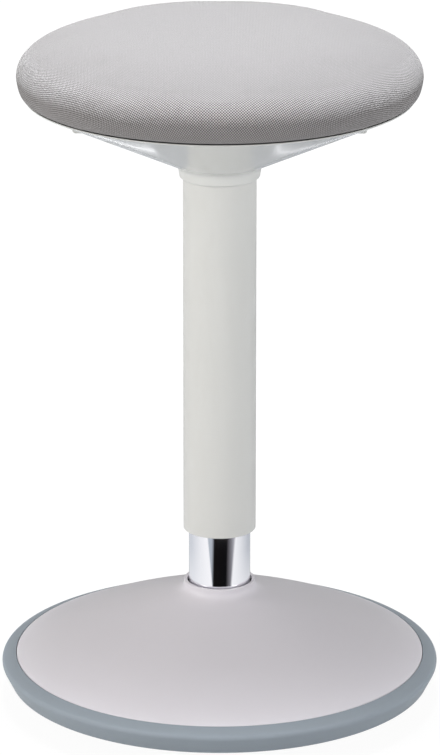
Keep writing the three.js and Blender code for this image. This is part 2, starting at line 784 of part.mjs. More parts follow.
function crownOutline(inset) {
  const radius = cushionRadius - inset;
  const height = cushionCrown - inset;
  return Array.from({ length: crownSteps + 1 }, (_, i) => {
    const angle = (i / crownSteps) * (Math.PI / 2);
    const out = i === crownSteps ? 0 : radius * Math.cos(angle) ** (2 / crownSquareness);
    return [out, cushionWidest + height * Math.sin(angle) ** (2 / crownFullness)];
  });
}

function sideOutline(inset) {
  const drop = cushionSide - inset;
  const foot = seamRadius - inset;
  return Array.from({ length: sideSteps }, (_, i) => {
    const angle = (1 - i / sideSteps) * (Math.PI / 2);
    return [foot + (cushionRadius - seamRadius) * Math.cos(angle), cushionWidest - drop * Math.sin(angle)];
  });
}

// Cover: the fabric shell, turned in under the board's edge to its hem
const seatCover = () => turned([
  ...crownOutline(0).reverse(), ...sideOutline(0).reverse(),
  [hemRadius, coverLow], [hemRadius, coverLow + coverThickness],
  ...sideOutline(coverThickness), ...crownOutline(coverThickness),
], wideSides);

// Foam: fills the cover over and round the board
function seatFoam() {
  const inset = coverThickness + clearance;
  const hole = boardRadius + clearance;
  return turned([
    [0, boardTop + clearance], [hole, boardTop + clearance],
    ...sideOutline(inset).slice(0, 1).map(([, low]) => [hole, low]),
    ...sideOutline(inset), ...crownOutline(inset),
  ], wideSides);
}

// Board: a plywood disc, counterbored for the tee nuts and piloted for the cowl's screws
const cowlScrews = around(cowlScrewCount, cowlScrewCircle, Math.PI / cowlScrewCount);
const teeNutRadius = plateBoltRadius + clearance + teeNutWall;
const teeNutBottom = boardTop - clearance - teeNutFlangeThickness;

function seatBoard() {
  const board = disc(boardRadius, boardLow, boardTop, wideSides);
  const over = boardTop + overrun;
  const barrels = discsAt(plateBolts, teeNutRadius + clearance, boardLow - overrun, over);
  const flanges = discsAt(plateBolts, teeNutFlangeRadius + clearance, teeNutBottom - clearance, over);
  const pilotTop = cowlScrewEnd + clearance;
  const pilots = discsAt(cowlScrews, cowlScrewRadius + clearance, boardLow - overrun, pilotTop);
  return cut(board, ...barrels, ...flanges, ...pilots);
}

// Tee nut, flange at the top and its barrel down in the board
function teeNut() {
  const bore = plateBoltRadius + clearance;
  const barrelLow = boardLow + clearance;
  return turned([
    [bore, barrelLow], [teeNutRadius, barrelLow], [teeNutRadius, teeNutBottom],
    [teeNutFlangeRadius, teeNutBottom], [teeNutFlangeRadius, teeNutBottom + teeNutFlangeThickness],
    [bore, teeNutBottom + teeNutFlangeThickness],
  ], screwSides);
}

// Outer sleeve and the cowl that holds it
const bushOuter = tubeRadius + clearance + sleeveBushWall;
const sleeveInner = bushOuter + clearance;
const sleeveOuter = sleeveInner + sleeveWall;
const cowlTop = coverLow - seamGap;
const cowlConeTop = cowlTop - cowlRimLip;
const cowlConeFoot = cowlConeTop - cowlDepth;
const cowlCollarBottom = cowlConeFoot - cowlCollarHeight;
const cowlBore = sleeveOuter + clearance;
const cowlFootRadius = cowlBore + cowlCollarWall + cowlCollarDraft;
const cowlSlope = cowlDepth / (cowlRimRadius - cowlFootRadius);
const coneHeight = (radius) => cowlConeTop - (cowlRimRadius - radius) * cowlSlope;
const sleeveTop = cowlCollarBottom + sleeveInsertion;
const sleeveBottom = collarHeight + tubeShown;
const cowlScrewSeat = coneHeight(cowlScrewCircle) + cowlBossFloor;
const cowlScrewEnd = cowlScrewSeat + cowlScrewLength;

const sleeve = () => turned([
  [sleeveInner, sleeveBottom], [sleeveOuter - sleeveRound, sleeveBottom],
  [sleeveOuter, sleeveBottom + sleeveRound], [sleeveOuter, sleeveTop], [sleeveInner, sleeveTop],
], columnSides);

const sleeveBush = () => ring(tubeRadius + clearance, bushOuter,
  sleeveBottom + sleeveBushInset, sleeveBottom + sleeveBushInset + sleeveBushLength, columnSides);

// Cowl: a plain glossy cone with a collar for the sleeve, slots for the paddles and four screw bosses
function seatCowl() {
  const rise = cowlWall * Math.hypot(1, cowlSlope);
  const stop = sleeveTop + clearance;
  const stopTop = stop + cowlStopThickness;
  const hubOuter = cowlFootRadius;
  const innerFoot = coneHeight(hubOuter) + rise;
  const shell = turned([
    [cowlBore, cowlCollarBottom], [cowlBore + cowlCollarWall - cowlCollarChamfer, cowlCollarBottom],
    [cowlBore + cowlCollarWall, cowlCollarBottom + cowlCollarChamfer],
    [cowlFootRadius, cowlConeFoot],
    [cowlRimRadius, cowlConeTop], [cowlRimRadius, cowlTop],
    [cowlRimRadius - (rise - cowlRimLip) / cowlSlope, cowlTop],
    [hubOuter, innerFoot], [hubOuter, stopTop],
    [cowlBore - cowlStopWidth, stopTop], [cowlBore - cowlStopWidth, stop], [cowlBore, stop],
  ], wideSides);
  const bossTop = boardLow - clearance;
  const middle = turned([
    [0, cowlCollarBottom], [cowlRimRadius, cowlCollarBottom],
    [cowlRimRadius, cowlConeTop + rise / 2], [hubOuter, cowlConeFoot + rise / 2],
    [0, cowlConeFoot + rise / 2],
  ], wideSides);
  const bosses = seatedBosses(cowlScrews, cowlBossRadius, cowlConeFoot, bossTop, middle);
  const pockets = discsAt(cowlScrews, cowlScrewHeadRadius + clearance, cowlConeFoot, cowlScrewSeat);
  const holes = discsAt(cowlScrews, cowlScrewRadius + clearance, cowlConeFoot, bossTop + overrun);
  const near = paddleReach - paddleLength - paddleSlope - cowlSlotMargin;
  const far = paddleReach + cowlSlotMargin;
  const half = paddleWidth / 2 + cowlSlotMargin;
  const slots = [0, Math.PI].map((angle) =>
    box(near, far, -half, half, cowlConeFoot, plateTop).rotateZ(angle));
  return cut(joined(shell, ...bosses), ...pockets, ...holes, ...slots);
}

// What stands on the floor
piece(base, 'floor_pad', floorPad(), rubber);
piece(base, 'base_pan', pan(), panPlastic);
piece(base, 'base_dome', dome(), domePlastic);
piece(base, 'base_rim', rim(), rimRubber);
piece(base, 'ballast_ring', ballast(), castIron);
piece(base, 'column_socket', columnSocket(), blackSteel);
piece(base, 'collar_seal',
  ring(tubeRadius + clearance, sealOuter, sealBottom, sealTop, columnSides), rubber);
piece(base, 'chrome_tube', chromeTube(), chrome);
piece(base, 'guide_bush', guideBush(), nylon);
piece(base, 'lower_race',
  ring(rodRadius + clearance, raceRadius, lowerRace, lowerRace + raceThickness, innerSides), steel);
piece(base, 'ball_cage',
  ring(rodRadius + clearance, cageRadius, cage, cage + cageThickness, innerSides), nylon);
panScrews.forEach(([x, y], i) => {
  const screw = roundScrew(panScrewRadius, panScrewLength, panScrewHeadRadius, panScrewHeadHeight);
  piece(base, `pan_screw_${i + 1}`, screw, steel).position.set(x, y, panSeat - clearance);
});
socketBolts.forEach(([x, y], i) => {
  const bolt = hexBolt(socketBoltRadius, socketBoltLength, socketBoltHeadRadius, socketBoltHeadHeight);
  piece(base, `socket_bolt_${i + 1}`, bolt, steel).position.set(x, y, flangeTop + clearance);
});

// What swivels with the piston rod
piece(rod, 'piston_rod', pistonRod(), steel);
piece(rod, 'rod_clip',
  ring(rodNeckRadius + clearance, clipRadius, clipBottom, clipBottom + clipThickness, pinSides), steel);
piece(rod, 'upper_race',
  ring(rodRadius + clearance, raceRadius, upperRace, upperRace + raceThickness, innerSides), steel);
piece(rod, 'bump_stop',
  ring(rodRadius + clearance, bumpRadius, bumpStop, bumpStop + bumpThickness, innerSides), rubber);
piece(rod, 'piston', piston(), steel);
piece(rod, 'piston_seal', pistonSeal(), rubber);

// What rises and falls with the seat
piece(seat, 'gas_cylinder', gasCylinder(), blackSteel);
piece(seat, 'cylinder_seal', cylinderSeal(), rubber);
piece(seat, 'valve_body', valveBody(), steel);
piece(seat, 'outer_sleeve', sleeve(), sleevePaint);
piece(seat, 'sleeve_bush', sleeveBush(), nylon);
piece(seat, 'seat_cowl', seatCowl(), cowlPlastic);
piece(seat, 'seat_bracket', seatBracket(), blackSteel);
piece(seat, 'seat_board', seatBoard(), plywood);
piece(seat, 'seat_foam', seatFoam(), foam);
piece(seat, 'seat_cover', seatCover(), fabric);
plateBolts.forEach(([x, y], i) => {
  const length = plateThickness + plateBoltGrip;
  const bolt = roundScrew(plateBoltRadius, length, plateBoltHeadRadius, plateBoltHeadHeight);
  piece(seat, `plate_bolt_${i + 1}`, bolt, steel).position.set(x, y, plateLow - clearance);
  piece(seat, `tee_nut_${i + 1}`, teeNut(), steel).position.set(x, y, 0);
});
cowlScrews.forEach(([x, y], i) => {
  const screw = roundScrew(cowlScrewRadius, cowlScrewLength, cowlScrewHeadRadius, cowlScrewHeadHeight);
  piece(seat, `cowl_screw_${i + 1}`, screw, steel).position.set(x, y, cowlScrewSeat - clearance);
});
piece(seat, 'pivot_pin_left', pivotPin(), steel).position.set(-pivotOffset, 0, pivotHeight);
piece(seat, 'pivot_pin_right', pivotPin(), steel).position.set(pivotOffset, 0, pivotHeight);

// What moves when a paddle is squeezed
piece(release, 'lever_left', leftLever(), cowlPlastic);
piece(release, 'link_pin', linkPin(), steel);
piece(release, 'lever_right', rightLever(), cowlPlastic);
piece(release, 'release_button', releaseButton(), steel);

export default stool;
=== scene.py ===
import math

import bmesh
import bpy
import numpy as np
from bpy.props import FloatProperty, FloatVectorProperty, IntProperty, PointerProperty
from mathutils import Matrix, Vector


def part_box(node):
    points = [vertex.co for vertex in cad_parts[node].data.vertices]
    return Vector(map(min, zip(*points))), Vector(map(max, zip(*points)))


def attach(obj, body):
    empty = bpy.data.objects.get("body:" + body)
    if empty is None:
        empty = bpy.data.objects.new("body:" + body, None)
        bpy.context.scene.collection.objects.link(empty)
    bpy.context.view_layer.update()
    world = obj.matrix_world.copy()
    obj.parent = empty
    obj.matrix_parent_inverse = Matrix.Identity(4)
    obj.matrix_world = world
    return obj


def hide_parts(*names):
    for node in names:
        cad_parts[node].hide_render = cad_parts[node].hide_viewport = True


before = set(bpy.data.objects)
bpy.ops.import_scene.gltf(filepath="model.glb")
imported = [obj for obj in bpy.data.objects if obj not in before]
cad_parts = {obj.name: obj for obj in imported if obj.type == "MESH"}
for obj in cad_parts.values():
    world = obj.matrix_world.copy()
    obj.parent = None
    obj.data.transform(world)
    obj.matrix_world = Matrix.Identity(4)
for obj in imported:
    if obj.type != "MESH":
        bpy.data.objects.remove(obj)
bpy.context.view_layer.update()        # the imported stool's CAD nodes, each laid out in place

bl_info = {
    "name": "Wobble Stool",
    "version": (1, 0, 0),
    "blender": (4, 5, 0),
    "location": "3D View > Sidebar > Stool",
    "description": "Dresses the packed wobble stool: smooth shells, a sewn cushion, finishes and a studio",
    "category": "Object",
}


# Sizes read from the frame

def reach(node):
    """Widest radius, lowest and highest point of a turned CAD node that stands on the column's axis."""
    low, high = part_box(node)
    return high.x, low.z, high.z


def spot(node):
    """Middle of a CAD node in plan, with its lowest and highest point."""
    low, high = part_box(node)
    return (low.x + high.x) / 2, (low.y + high.y) / 2, low.z, high.z


# Settings a user would change

def length(name, description, default):
    """A length, in metres."""
    return FloatProperty(name=name, description=description, default=default, min=0,
                         unit="LENGTH", precision=5)


def colour(name, description, default):
    """A colour, as seen on screen."""
    return FloatVectorProperty(name=name, description=description, default=default, size=3,
                               min=0, max=1, subtype="COLOR_GAMMA")


def share(name, description, default):
    """A part of the whole."""
    return FloatProperty(name=name, description=description, default=default, min=0,
                         subtype="FACTOR", soft_max=1)


def power(name, description, default):
    """A lamp's power, in watts."""
    return FloatProperty(name=name, description=description, default=default, min=0, unit="POWER")


def number(name, description, default, low=0):
    """A plain number, such as an exponent."""
    return FloatProperty(name=name, description=description, default=default, min=low)


def count(name, description, default, low=0):
    """A whole number."""
    return IntProperty(name=name, description=description, default=default, min=low)


def angle(name, description, degrees):
    """An angle, given in degrees."""
    return FloatProperty(name=name, description=description, default=math.radians(degrees),
                         subtype="ANGLE")


class StoolShape(bpy.types.PropertyGroup):
    """Sizes of the dressed pieces, in metres"""
    sides: count("Sides", "Steps round a turned piece", 192, 24)
    cowl_sides: count("Cowl sides", "Steps round the glossy cowl", 576, 24)
    clearance: length("Clearance", "Gap between neighbours", 0.0003)
    edge_round: length("Edge round", "Radius along a plain edge", 0.0004)
    overrun: length("Overrun", "How far a cutter passes the face that it cuts", 0.004)
    wall: length("Shell wall", "Thickness of the dome and the pan", 0.003)
    dome_rise: length("Dome rise", "From the dome's edge up to the start of its flare", 0.0488)
    dome_bulge: length("Dome bulge", "How far the dome swells past a straight cone", 0.0024)
    dome_round: length("Dome edge round", "Radius along the dome's lower edge", 0.0014)
    flare_reach: length("Flare reach", "Width of the flare round the collar", 0.0125)
    collar_gap: length("Collar gap", "Open ring between the collar and the tube", 0.0014)
    collar_wall: length("Collar wall", "Thickness of the collar", 0.0028)
    collar_rise: length("Collar rise", "From the start of the flare to the collar's top", 0.0130)
    collar_straight: length("Collar straight", "Upright part of the collar", 0.0036)
    collar_round: length("Collar round", "Radius round the collar's lip", 0.0008)
    rim_nose: length("Rim nose", "Radius of the rim's nose", 0.0036)
    rim_drop: length("Rim drop", "How far the rim's top slopes down to its nose", 0.0034)
    rim_foot: length("Rim foot", "Width of the rim's foot", 0.0008)
    rock_radius: length("Rocking radius", "Radius of the rounded underside", 0.494)
    pan_lift: length("Pan lift", "Height of the pan's inner edge over the floor", 0.0005)
    screw_boss: length("Screw boss", "Radius of the boss round a pan screw", 0.007)
    boss_floor: length("Boss floor", "Thickness under a pan screw's head", 0.003)
    groove_width: length("Groove width", "Width of the pad's grip grooves", 0.0016)
    groove_depth: length("Groove depth", "Depth of the pad's grip grooves", 0.0008)
    tube_wall: length("Tube wall", "Thickness of the chrome tube", 0.002)
    tube_taper: length("Tube taper", "How much smaller the tube's foot is in radius", 0.0007)
    taper_height: length("Taper height", "Height of the tube's tapered foot", 0.06)
    tube_foot: length("Tube foot", "Thickness of the tube's floor", 0.004)
    rod_hole: length("Rod hole", "Radius of the hole for the piston rod", 0.0053)
    sleeve_wall: length("Sleeve wall", "Thickness of the outer sleeve", 0.0024)
    cowl_wall: length("Cowl wall", "Thickness of the cowl", 0.0026)
    cowl_depth: length("Cowl depth", "Height of the cowl's cone", 0.0574)
    cowl_lip: length("Cowl lip", "Height of the upright lip along the cowl's rim", 0.0009)
    cowl_round: length("Cowl rim round", "Radius along the cowl's rim", 0.0016)
    cowl_blend: length("Cowl blend", "Radius between the cone and its collar", 0.0075)
    cowl_collar: length("Cowl collar", "Height of the collar round the sleeve", 0.0104)
    cowl_collar_wall: length("Cowl collar wall", "Thickness of that collar at its top", 0.0038)
    cowl_collar_toe: length("Cowl collar toe", "Thickness of that collar at its foot", 0.0025)
    cowl_chamfer: length("Cowl chamfer", "Height of the chamfer at the collar's foot", 0.0016)
    cowl_stop: length("Cowl stop", "Width of the ledge that rests on the sleeve", 0.0026)
    cowl_stop_height: length("Cowl stop height", "Thickness of that ledge", 0.003)
    slot_margin: length("Slot margin", "Room round a lever's paddle in its slot", 0.0018)
    cowl_boss: length("Cowl boss", "Radius of the boss round a cowl screw", 0.0065)
    paddle_width: length("Paddle width", "Width of a lever's paddle", 0.036)
    paddle_length: length("Paddle length", "Depth of a lever's paddle", 0.0125)
    paddle_round: length("Paddle round", "Radius along the paddle's edges", 0.0026)
    paddle_bevel: length("Paddle bevel", "Bevel at the paddle's ends", 0.0016)
    paddle_root: length("Paddle root", "How far the paddle's root reaches in along the arm", 0.005)
    paddle_slope: length("Paddle slope", "How far the paddle's outer face leans in", 0.0034)
    lever_width: length("Lever width", "Width of a lever's arm", 0.016)
    lever_depth: length("Lever depth", "Thickness of a lever's arm", 0.005)
    pivot_offset: length("Pivot offset", "From the column's axis to a lever's pivot", 0.030)
    pivot_bore: length("Pivot bore", "Radius of a lever's pivot bore", 0.0033)
    hub_radius: length("Hub radius", "Radius of a lever's hub", 0.0065)
    link_bore: length("Link bore", "Radius of the bore round the link pin", 0.0019)
    fork_half: length("Fork gap", "Half the gap between the fork's prongs", 0.004)
    nose_root: length("Nose root", "From the column's axis out to where the arm begins", 0.014)
    fork_depth: length("Fork depth", "From the column's axis out to the fork's root", 0.019)
    link_slack: length("Link slack", "Half the play of the link pin along its slot", 0.0005)
    screw_radius: length("Screw radius", "Radius of a screw's shank", 0.002)
    screw_head: length("Screw head", "Height of a screw's head", 0.0026)
    screw_crown: length("Screw crown", "Height of the rounded part of a screw's head", 0.002)
    recess_depth: length("Recess depth", "Depth of the cross recess in a screw's head", 0.0012)
    recess_half: length("Recess half width", "Half the width of a bar of the recess", 0.0005)
    recess_reach: length("Recess reach", "Half the length of a bar of the recess", 0.0019)


class StoolCushion(bpy.types.PropertyGroup):
    """The sewn cushion"""
    rings: count("Rings", "Rings of faces from the crown to the hem", 48, 24)
    tuck: length("Tuck", "How far the side draws in down to the seam", 0.0064)
    lift: length("Seam lift", "How far the seam sits over the cover's lowest point", 0.0002)
    held: length("Held cloth", "Width of cloth over the fold that the seam holds", 0.0015)
    fold: length("Fold", "Width of the fold between the side and the flat hem", 0.0004)
    side: length("Side", "Height from the seam to the widest circle", 0.0138)
    across: number("Crown across", "Exponent of the crown's outline across", 3.30, 1)
    upward: number("Crown upwards", "Exponent of the crown's outline upwards", 2.106, 1)
    under: number("Side fullness", "Exponent of the side, less than 1 is fuller", 0.85, 0.5)
    hem: length("Hem", "From the seam in to the hem under the board", 0.0235)
    cover: length("Cover", "Thickness of the fabric", 0.0012)
    inset: length("Crown inset", "How much lower the crown starts before it swells", 0.0016)
    waist: length("Waist inset", "How much narrower the widest circle starts before it swells", 0.0002)
    cap: length("Swell cap", "How far a point may move as the cushion swells", 0.0016)
    fade: length("Quick fade", "Way over which the quick swelling fades to the seam", 0.012)
    pressure: number("Pressure", "Inner pressure of the cloth", 5.0)
    frames: count("Frames", "Steps of the cloth simulation", 20, 1)
    easing: count("Easing", "Times the swelling is evened out", 12)
    pitch: length("Weave pitch", "Width of one thread of the weave", 0.00118)
    relief: length("Weave relief", "Height of a thread over the gap beside it", 0.0004)
    # These set the band where the weave stands out more, by distance from the crown's centre: where it
    # starts, grows, ends and fades.
    band_start: length("Pull start", "From the crown's centre to where the cloth is pulled", 0.146)
    band_rise: length("Pull rise", "Way over which the pull grows", 0.014)
    band_end: length("Pull end", "From the crown's centre to where the pull ends", 0.190)
    band_fall: length("Pull fall", "Way over which the pull fades", 0.016)


class StoolColours(bpy.types.PropertyGroup):
    """Colours, as seen on screen"""
    warp: colour("Warp", "Lighter threads of the cover", (0.695, 0.681, 0.679))
    weft: colour("Weft", "Darker threads of the cover", (0.300, 0.290, 0.289))
    dome: colour("Dome", "Moulded dome", (0.832, 0.818, 0.839))
    rim: colour("Rim", "Soft rim of the base", (0.556, 0.588, 0.617))
    pan: colour("Pan", "Moulded rocking pan", (0.235, 0.245, 0.255))
    pad: colour("Pad", "Rubber pad on the floor", (0.13, 0.14, 0.145))
    sleeve: colour("Sleeve", "Painted outer sleeve", (0.799, 0.799, 0.786))
    cowl: colour("Cowl", "Glossy cowl and levers", (0.759, 0.761, 0.749))
    chrome: colour("Chrome", "Plated tube", (0.932, 0.932, 0.948))
    steel: colour("Steel", "Zinc-plated and ground steel", (0.66, 0.67, 0.68))
    black: colour("Black paint", "Painted cylinder, socket and bracket", (0.13, 0.13, 0.14))
    iron: colour("Cast iron", "Ballast ring", (0.27, 0.27, 0.26))
    rubber: colour("Black rubber", "Seals and bump stop", (0.10, 0.10, 0.11))
    nylon: colour("Nylon", "Bushes and ball cage", (0.85, 0.85, 0.82))
    veneer: colour("Veneer", "Plywood of the board", (0.79, 0.66, 0.47))
    foam: colour("Foam", "Cushion foam", (0.85, 0.81, 0.68))


class StoolStudio(bpy.types.PropertyGroup):
    """Camera and light"""
    lens: FloatProperty(name="Lens", description="Focal length over a 36 mm high frame",
                        default=221.87, min=1, unit="CAMERA")
    distance: length("Distance", "From the camera to the column, along the floor", 3.564)
    height: length("Camera height", "Height of the camera over the floor", 1.452)
    tilt: angle("Tilt", "Camera's tilt from straight down", 71.7)
    roll: angle("Roll", "Camera's roll", 0.03)
    top: power("Top", "Small lamp right over the seat", 51)
    crown: power("Crown", "Wider lamp over the seat's front", 19)
    left: power("Left", "Lamp high at the left", 8.5)
    side: power("Side", "Wide low lamp at the left", 57)
    right: power("Right", "Wide low lamp at the right", 44)
    sky: share("Room light", "Even light from the pale room", 0.27)
    backdrop: share("Backdrop", "How much of the floor's look is plain white", 0.9)
    floor: colour("Floor", "Pale floor", (0.75, 0.75, 0.75))
    floor_radius: length("Floor radius", "Radius of the floor", 8.0)
    lamp_reach: length("Lamp reach", "Where the floor's plain white starts to grow", 0.6)
    shift: length("Shift", "How far the camera stands to the right of the column", 0.00026)


# Surfaces

def rounded(corners, steps=6):
    """An outline with rounded corners. Each corner is (radius, height, round): its arc touches both
    edges at round / tan(half the angle between them), and its centre lies on their bisector."""
    corners = np.asarray(corners, float)
    place, radius = corners[:, :2], corners[:, 2]
    before, after = np.roll(place, 1, 0) - place, np.roll(place, -1, 0) - place
    outline = []
    for corner, back, ahead, size in zip(place, before, after, radius):
        if size <= 0:
            outline.append(corner[None])
            continue
        reach_back, reach_ahead = np.hypot(*back), np.hypot(*ahead)
        back, ahead = back / reach_back, ahead / reach_ahead
        half = math.acos(float(np.clip(back @ ahead, -1, 1))) / 2
        run = min(size / math.tan(half), 0.49 * reach_back, 0.49 * reach_ahead)
        size = run * math.tan(half)
        middle = (back + ahead) / np.hypot(*(back + ahead))
        centre = corner + middle * size / math.sin(half)
        turn = np.linspace(half - math.pi / 2, math.pi / 2 - half, steps)[:, None]
        side = (ahead - back) / np.hypot(*(ahead - back))
        outline.append(centre - middle * size * np.cos(turn) + side * size * np.sin(turn))
    return np.concatenate(outline)


def sharp(radius, height):
    """Points of an outline that stay sharp."""
    return np.column_stack([radius, height, np.zeros(len(radius))])


def hoop(inner, node, rounds):
    """Outline of a plain ring from this radius out to a CAD node's own, with a round for each corner."""
    outer, low, top = reach(node)
    corners = (inner, low), (outer, low), (outer, top), (inner, top)
    return rounded([(*corner, size) for corner, size in zip(corners, rounds)])


def quads(rows, columns, closed):
    """Faces of a grid whose columns join round, and whose rows join too if it is closed."""
    row = np.arange(rows if closed else rows - 1)[:, None]
    column = np.arange(columns)[None]
    ahead, beside = (row + 1) % rows, (column + 1) % columns
    corners = (row * columns + column, row * columns + beside,
               ahead * columns + beside, ahead * columns + column)
    return np.stack(np.broadcast_arrays(*corners), -1).reshape(-1, 4)


def piece_of(name, points, faces):
    """A mesh object at the origin, with its place in its mesh."""
    mesh = bpy.data.meshes.new(name)
    mesh.from_pydata(points, [], faces)
    mesh.update()
    piece = bpy.data.objects.new(name, mesh)
    bpy.context.scene.collection.objects.link(piece)
    return piece


def mended(piece, turn_faces=False):
    """Merges the doubled points of a pole or seam, and turns the faces outwards where asked."""
    shape = bmesh.new()
    shape.from_mesh(piece.data)
    bmesh.ops.remove_doubles(shape, verts=shape.verts, dist=1e-7)
    if turn_faces:
        bmesh.ops.recalc_face_normals(shape, faces=shape.faces)
    shape.to_mesh(piece.data)
    shape.free()
    return piece


def turned(name, outline, sides, centre=(0, 0), relief=None):
    """A turned solid. Point (k, j) is (x + r_k cos a_j, y + r_k sin a_j, z_k + relief), where the
    outline's points are (r_k, z_k), a_j goes once round, and relief is a function of both."""
    outline = np.asarray(outline, float)[:, :2]
    radius, height = outline[:, 0], outline[:, 1]
    onward = np.roll(outline, -1, 0)
    if np.sum(radius * onward[:, 1] - onward[:, 0] * height) < 0:
        radius, height = radius[::-1], height[::-1]
    closed = radius[0] > 1e-9 or radius[-1] > 1e-9
    angle = np.linspace(0, 2 * math.pi, sides, endpoint=False)
    across, along = radius[:, None] * np.cos(angle), radius[:, None] * np.sin(angle)
    up = np.broadcast_to(height[:, None], across.shape)
    if relief:
        up = up + relief(across, along, up)
    points = np.stack([across + centre[0], along + centre[1], up], -1).reshape(-1, 3)
    return mended(piece_of(name, points, quads(len(radius), sides, closed)))


def prism(name, outline, half):
    """An outline in X and Z carried along Y from -half to half, with a face over each end."""
    outline = np.asarray(outline, float)[:, :2]
    count = len(outline)
    ends = [np.column_stack([outline[:, 0], np.full(count, y), outline[:, 1]]) for y in (-half, half)]
    near = np.arange(count)
    ahead = (near + 1) % count
    walls = np.column_stack([near, ahead, ahead + count, near + count])
    faces = [*walls.tolist(), near[::-1].tolist(), (near + count).tolist()]
    return mended(piece_of(name, np.concatenate(ends), faces), turn_faces=True)


def bar(name, left, right, low, high, half, corner=0):
    """A prism over a rectangle in X and Z whose corners are rounded."""
    return prism(name, rounded([(left, low, corner), (right, low, corner),
                                (right, high, corner), (left, high, corner)]), half)


def plug(radius, low, high, centre=(0, 0), sides=48):
    """A plain round cutter or boss that stands upright."""
    return turned("plug", [(0, low), (radius, low), (radius, high), (0, high)], sides, centre)


def laid(piece, x, z):
    """Lays a piece that was turned on the Z axis along Y, through (x, z)."""
    piece.data.transform(Matrix.Translation((x, 0, z)) @ Matrix.Rotation(math.pi / 2, 4, "X"))
    return piece


def settle(piece):
    """Works the piece's modifiers into its mesh."""
    bpy.context.view_layer.update()
    shaped = piece.evaluated_get(bpy.context.evaluated_depsgraph_get())
    mesh = bpy.data.meshes.new_from_object(shaped)
    piece.modifiers.clear()
    piece.data = mesh
    return piece


def carve(piece, tools, operation="DIFFERENCE"):
    """Adds or takes away closed shapes with exact Booleans."""
    for tool in tools:
        step = piece.modifiers.new("carve", "BOOLEAN")
        step.operation, step.solver, step.object = operation, "EXACT", tool
    settle(piece)
    for tool in tools:
        bpy.data.objects.remove(tool)
    return piece


def pockets(shape, kind):
    """Places of the four screws of a kind, with the radius and the height of the pockets for their
    heads."""
    low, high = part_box(f"{kind}_1")
    places = [spot(f"{kind}_{number}")[:2] for number in range(1, 5)]
    return places, (high.x - low.x) / 2 + shape.clearance, low.z + shape.screw_head + shape.clearance


def bossed(shell, places, boss, pocket):
    """Adds a boss at each place and then cuts a pocket there. Both are (radius, low, high)."""
    carve(shell, [plug(*boss, place) for place in places], "UNION")
    return carve(shell, [plug(*pocket, place) for place in places])


def soften(piece, width, segments=3):
    """Bevels the piece's sharp edges."""
    step = piece.modifiers.new("soften", "BEVEL")
    step.width, step.segments, step.limit_method = width, segments, "ANGLE"
    step.angle_limit, step.use_clamp_overlap = math.radians(40), True
    return settle(piece)


def polish(piece, sharp=32):
    """Smooth shading that stays flat on flat faces and breaks at sharp edges."""
    piece.data.shade_smooth()
    piece.data.set_sharp_from_angle(angle=math.radians(sharp))
    step = piece.modifiers.new("normals", "WEIGHTED_NORMAL")
    step.keep_sharp, step.weight = True, 100
    return settle(piece)


def read(items, field, width=3, kind=np.float32):
    """A field of all points or corners of a mesh, as rows of this width."""
    values = np.empty(len(items) * width, kind)
    items.foreach_get(field, values)
    return values.reshape(-1, width)


# Finishes

def linear(tint):
    """A colour on screen as the light it stands for: ((c + 0.055) / 1.055) ^ 2.4, or c / 12.92 if dark."""
    tint = np.asarray(tint, float)
    return np.where(tint > 0.04045, ((tint + 0.055) / 1.055) ** 2.4, tint / 12.92)


def join(socket, value):
    """Puts a link, a number or a colour on a socket."""
    value = value.socket if isinstance(value, Number) else value
    if isinstance(value, bpy.types.NodeSocket):
        socket.id_data.links.new(value, socket)
    elif socket.type == "RGBA" and len(value) == 3:
        socket.default_value = (*value, 1)
    else:
        socket.default_value = value


class Number:
    """A socket that carries a number. Its operators and methods add Math nodes."""

    def __init__(self, socket):
        self.socket = socket

    def maths(self, operation, *values):
        """One Math node with its values or links."""
        node = self.socket.id_data.nodes.new("ShaderNodeMath")
        node.operation = operation
        for slot, value in zip(node.inputs, values):
            join(slot, value)
        return Number(node.outputs[0])

    def __add__(self, other):
        return self.maths("ADD", self, other)

    def __sub__(self, other):
        return self.maths("SUBTRACT", self, other)

    def __rsub__(self, other):
        return self.maths("SUBTRACT", other, self)

    def __mul__(self, other):
        return self.maths("MULTIPLY", self, other)

    def __truediv__(self, other):
        return self.maths("DIVIDE", self, other)

    __radd__ = __add__
    __rmul__ = __mul__

    def floor(self):
        return self.maths("FLOOR", self)

    def part(self):
        return self.maths("FRACT", self)

    def wave(self):
        return self.maths("SINE", self)

    def size(self):
        return self.maths("ABSOLUTE", self)

    def power(self, exponent):
        return self.maths("POWER", self, exponent)

    def held(self):
        """The number kept from 0 to 1."""
        capped = self.maths("MINIMUM", self, 1.0)
        return capped.maths("MAXIMUM", capped, 0.0)


def from_axis(x, y):
    """Distance from the Z axis of a place that two numbers give."""
    return (x * x + y * y).power(0.5)


